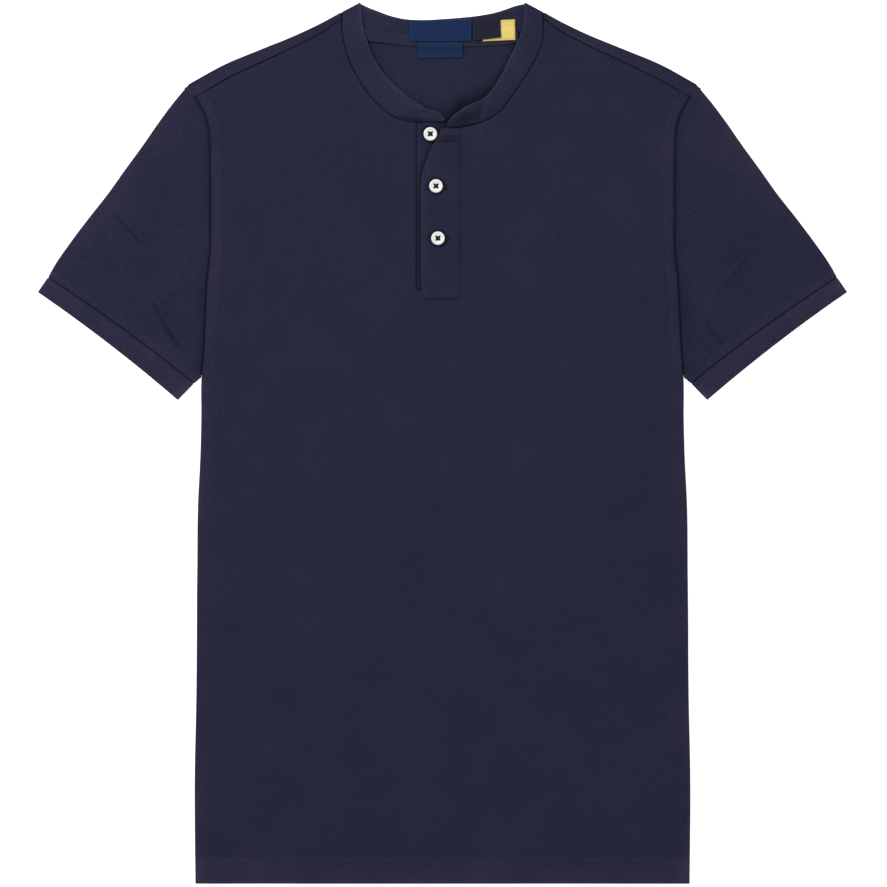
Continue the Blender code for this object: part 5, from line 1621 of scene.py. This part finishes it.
def placket_lines():
    """Lines on the buttonhole strip: down its sewn edge, and the other sides of the box at its
    foot."""
    right = PLACKET_RIGHT - PLACKET_STITCH_INSET
    sewn = pairs(right, np.linspace(BOX_FOOT, PLACKET_EDGE["y"][0] - 2 * MM, 60))
    box_side = np.linspace(BOX_FOOT, BOX_TOP, 8)
    left = pairs(strip_edge(box_side, "x") + PLACKET_STITCH_INSET, box_side)
    across = np.linspace(left[0, 0], right, 20)
    box = (left, pairs(across, BOX_FOOT), pairs(across, BOX_TOP))
    return [on_cloth(sewn, strip_height)], [on_cloth(line, strip_height) for line in box]


def stand_lines():
    """Lines on the button stand: down its left edge and along its top."""
    left, top = SLIT_LEFT + SEAM_GAP + STAND_STITCH, STAND_TOP - STAND_TOP_STITCH
    down = pairs(left, np.linspace(SLIT_END + 2 * MM, top, 60))
    along = pairs(np.linspace(left, SLIT_RIGHT - 9 * MM, 16), top)
    return [on_cloth(line, stand_height) for line in (down, along)]


def buttonhole_stitching():
    """Whipped edges of the three buttonholes: a short strand across each edge every pitch, and a
    bar of longer strands at both ends."""
    starts, ends = [], []
    for from_x, to_x, y in zip(*HOLES.values()):
        x = np.arange(from_x, to_x, WHIP_PITCH)
        strokes = [(x, way * 0.30 * MM, way * WHIP_REACH) for way in (-1, 1)]
        for end in (from_x - 0.5 * MM, to_x + 0.5 * MM):
            strokes.append((end + BAR_SPACING * np.array((-1.0, 0.0, 1.0)), -BAR_REACH, BAR_REACH))
        for x, near, far in strokes:
            starts.append(on_cloth(pairs(x, y + near), strip_height))
            ends.append(on_cloth(pairs(x, y + far), strip_height))
    piece = strands("buttonhole_stitches", np.vstack(starts), np.vstack(ends), WHIP_RADIUS)
    return finished(piece, FINE_THREAD)


def make_buttons():
    """Three buttons with their thread."""
    resin = button_finish()
    for i, base in enumerate(button_bases()):
        button = finished(make_button(i, base), resin)
        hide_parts(f"button_{i + 1}")
        finished(button_thread(i, base), BUTTON_THREAD)


# ---------------------------------------------------------------- stage
PIXEL = 0.84 * MM  # what one pixel of the view spans on the cloth
VIEW_PIXELS = 887
CAMERA_HEIGHT, SENSOR = 3.2, 36.0
FLOOR_REACH, FLOOR_DEPTH = 4.0, 0.05 * MM
LAMPS = (  # name, place, size and power
    ("key", (-1.2, 1.3, 1.5), 1.2, 31.0),
    ("fill", (1.6, -0.8, 1.6), 1.8, 6.0),
)


def make_floor():
    """A white floor just below the cloth."""
    mesh = bpy.data.meshes.new("floor")
    corners = [(x * FLOOR_REACH, y * FLOOR_REACH, 0) for x, y in ((-1, -1), (1, -1), (1, 1), (-1, 1))]
    mesh.from_pydata(corners, [], [(0, 1, 2, 3)])
    mesh.materials.append(plain_finish("lit white paper", (0.94, 0.94, 0.94), 0.9, 0.6))
    floor = linked("floor", mesh)
    floor.location = (0, 0, -FLOOR_DEPTH)


def make_light():
    """An even white sky and two soft lamps."""
    world = bpy.data.worlds.new("studio")
    world.use_nodes = True
    background = world.node_tree.nodes["Background"]
    background.inputs["Color"].default_value = (1.0, 1.0, 1.0, 1.0)
    background.inputs["Strength"].default_value = 0.70
    bpy.context.scene.world = world
    for name, place, size, power in LAMPS:
        light = bpy.data.lights.new(name, "AREA")
        light.size, light.energy = size, power
        lamp = linked(name, light)
        lamp.location = place
        lamp.rotation_mode = "QUATERNION"
        lamp.rotation_quaternion = Vector(-np.array(place)).to_track_quat("-Z", "Y")


def make_camera():
    """A camera straight above, whose view spans the photo."""
    lens = bpy.data.cameras.new("camera")
    lens.sensor_width = SENSOR
    lens.lens = SENSOR * CAMERA_HEIGHT / (PIXEL * VIEW_PIXELS)
    lens.clip_end = 50.0
    camera = linked("camera", lens)
    camera.location = (PIXEL, -0.5 * PIXEL, CAMERA_HEIGHT)
    bpy.context.scene.camera = camera
    bpy.context.scene.view_settings.view_transform = "Standard"


make_floor()
make_light()
make_camera()
make_cloth_pieces()
make_stitching()
buttonhole_stitching()
make_buttons()
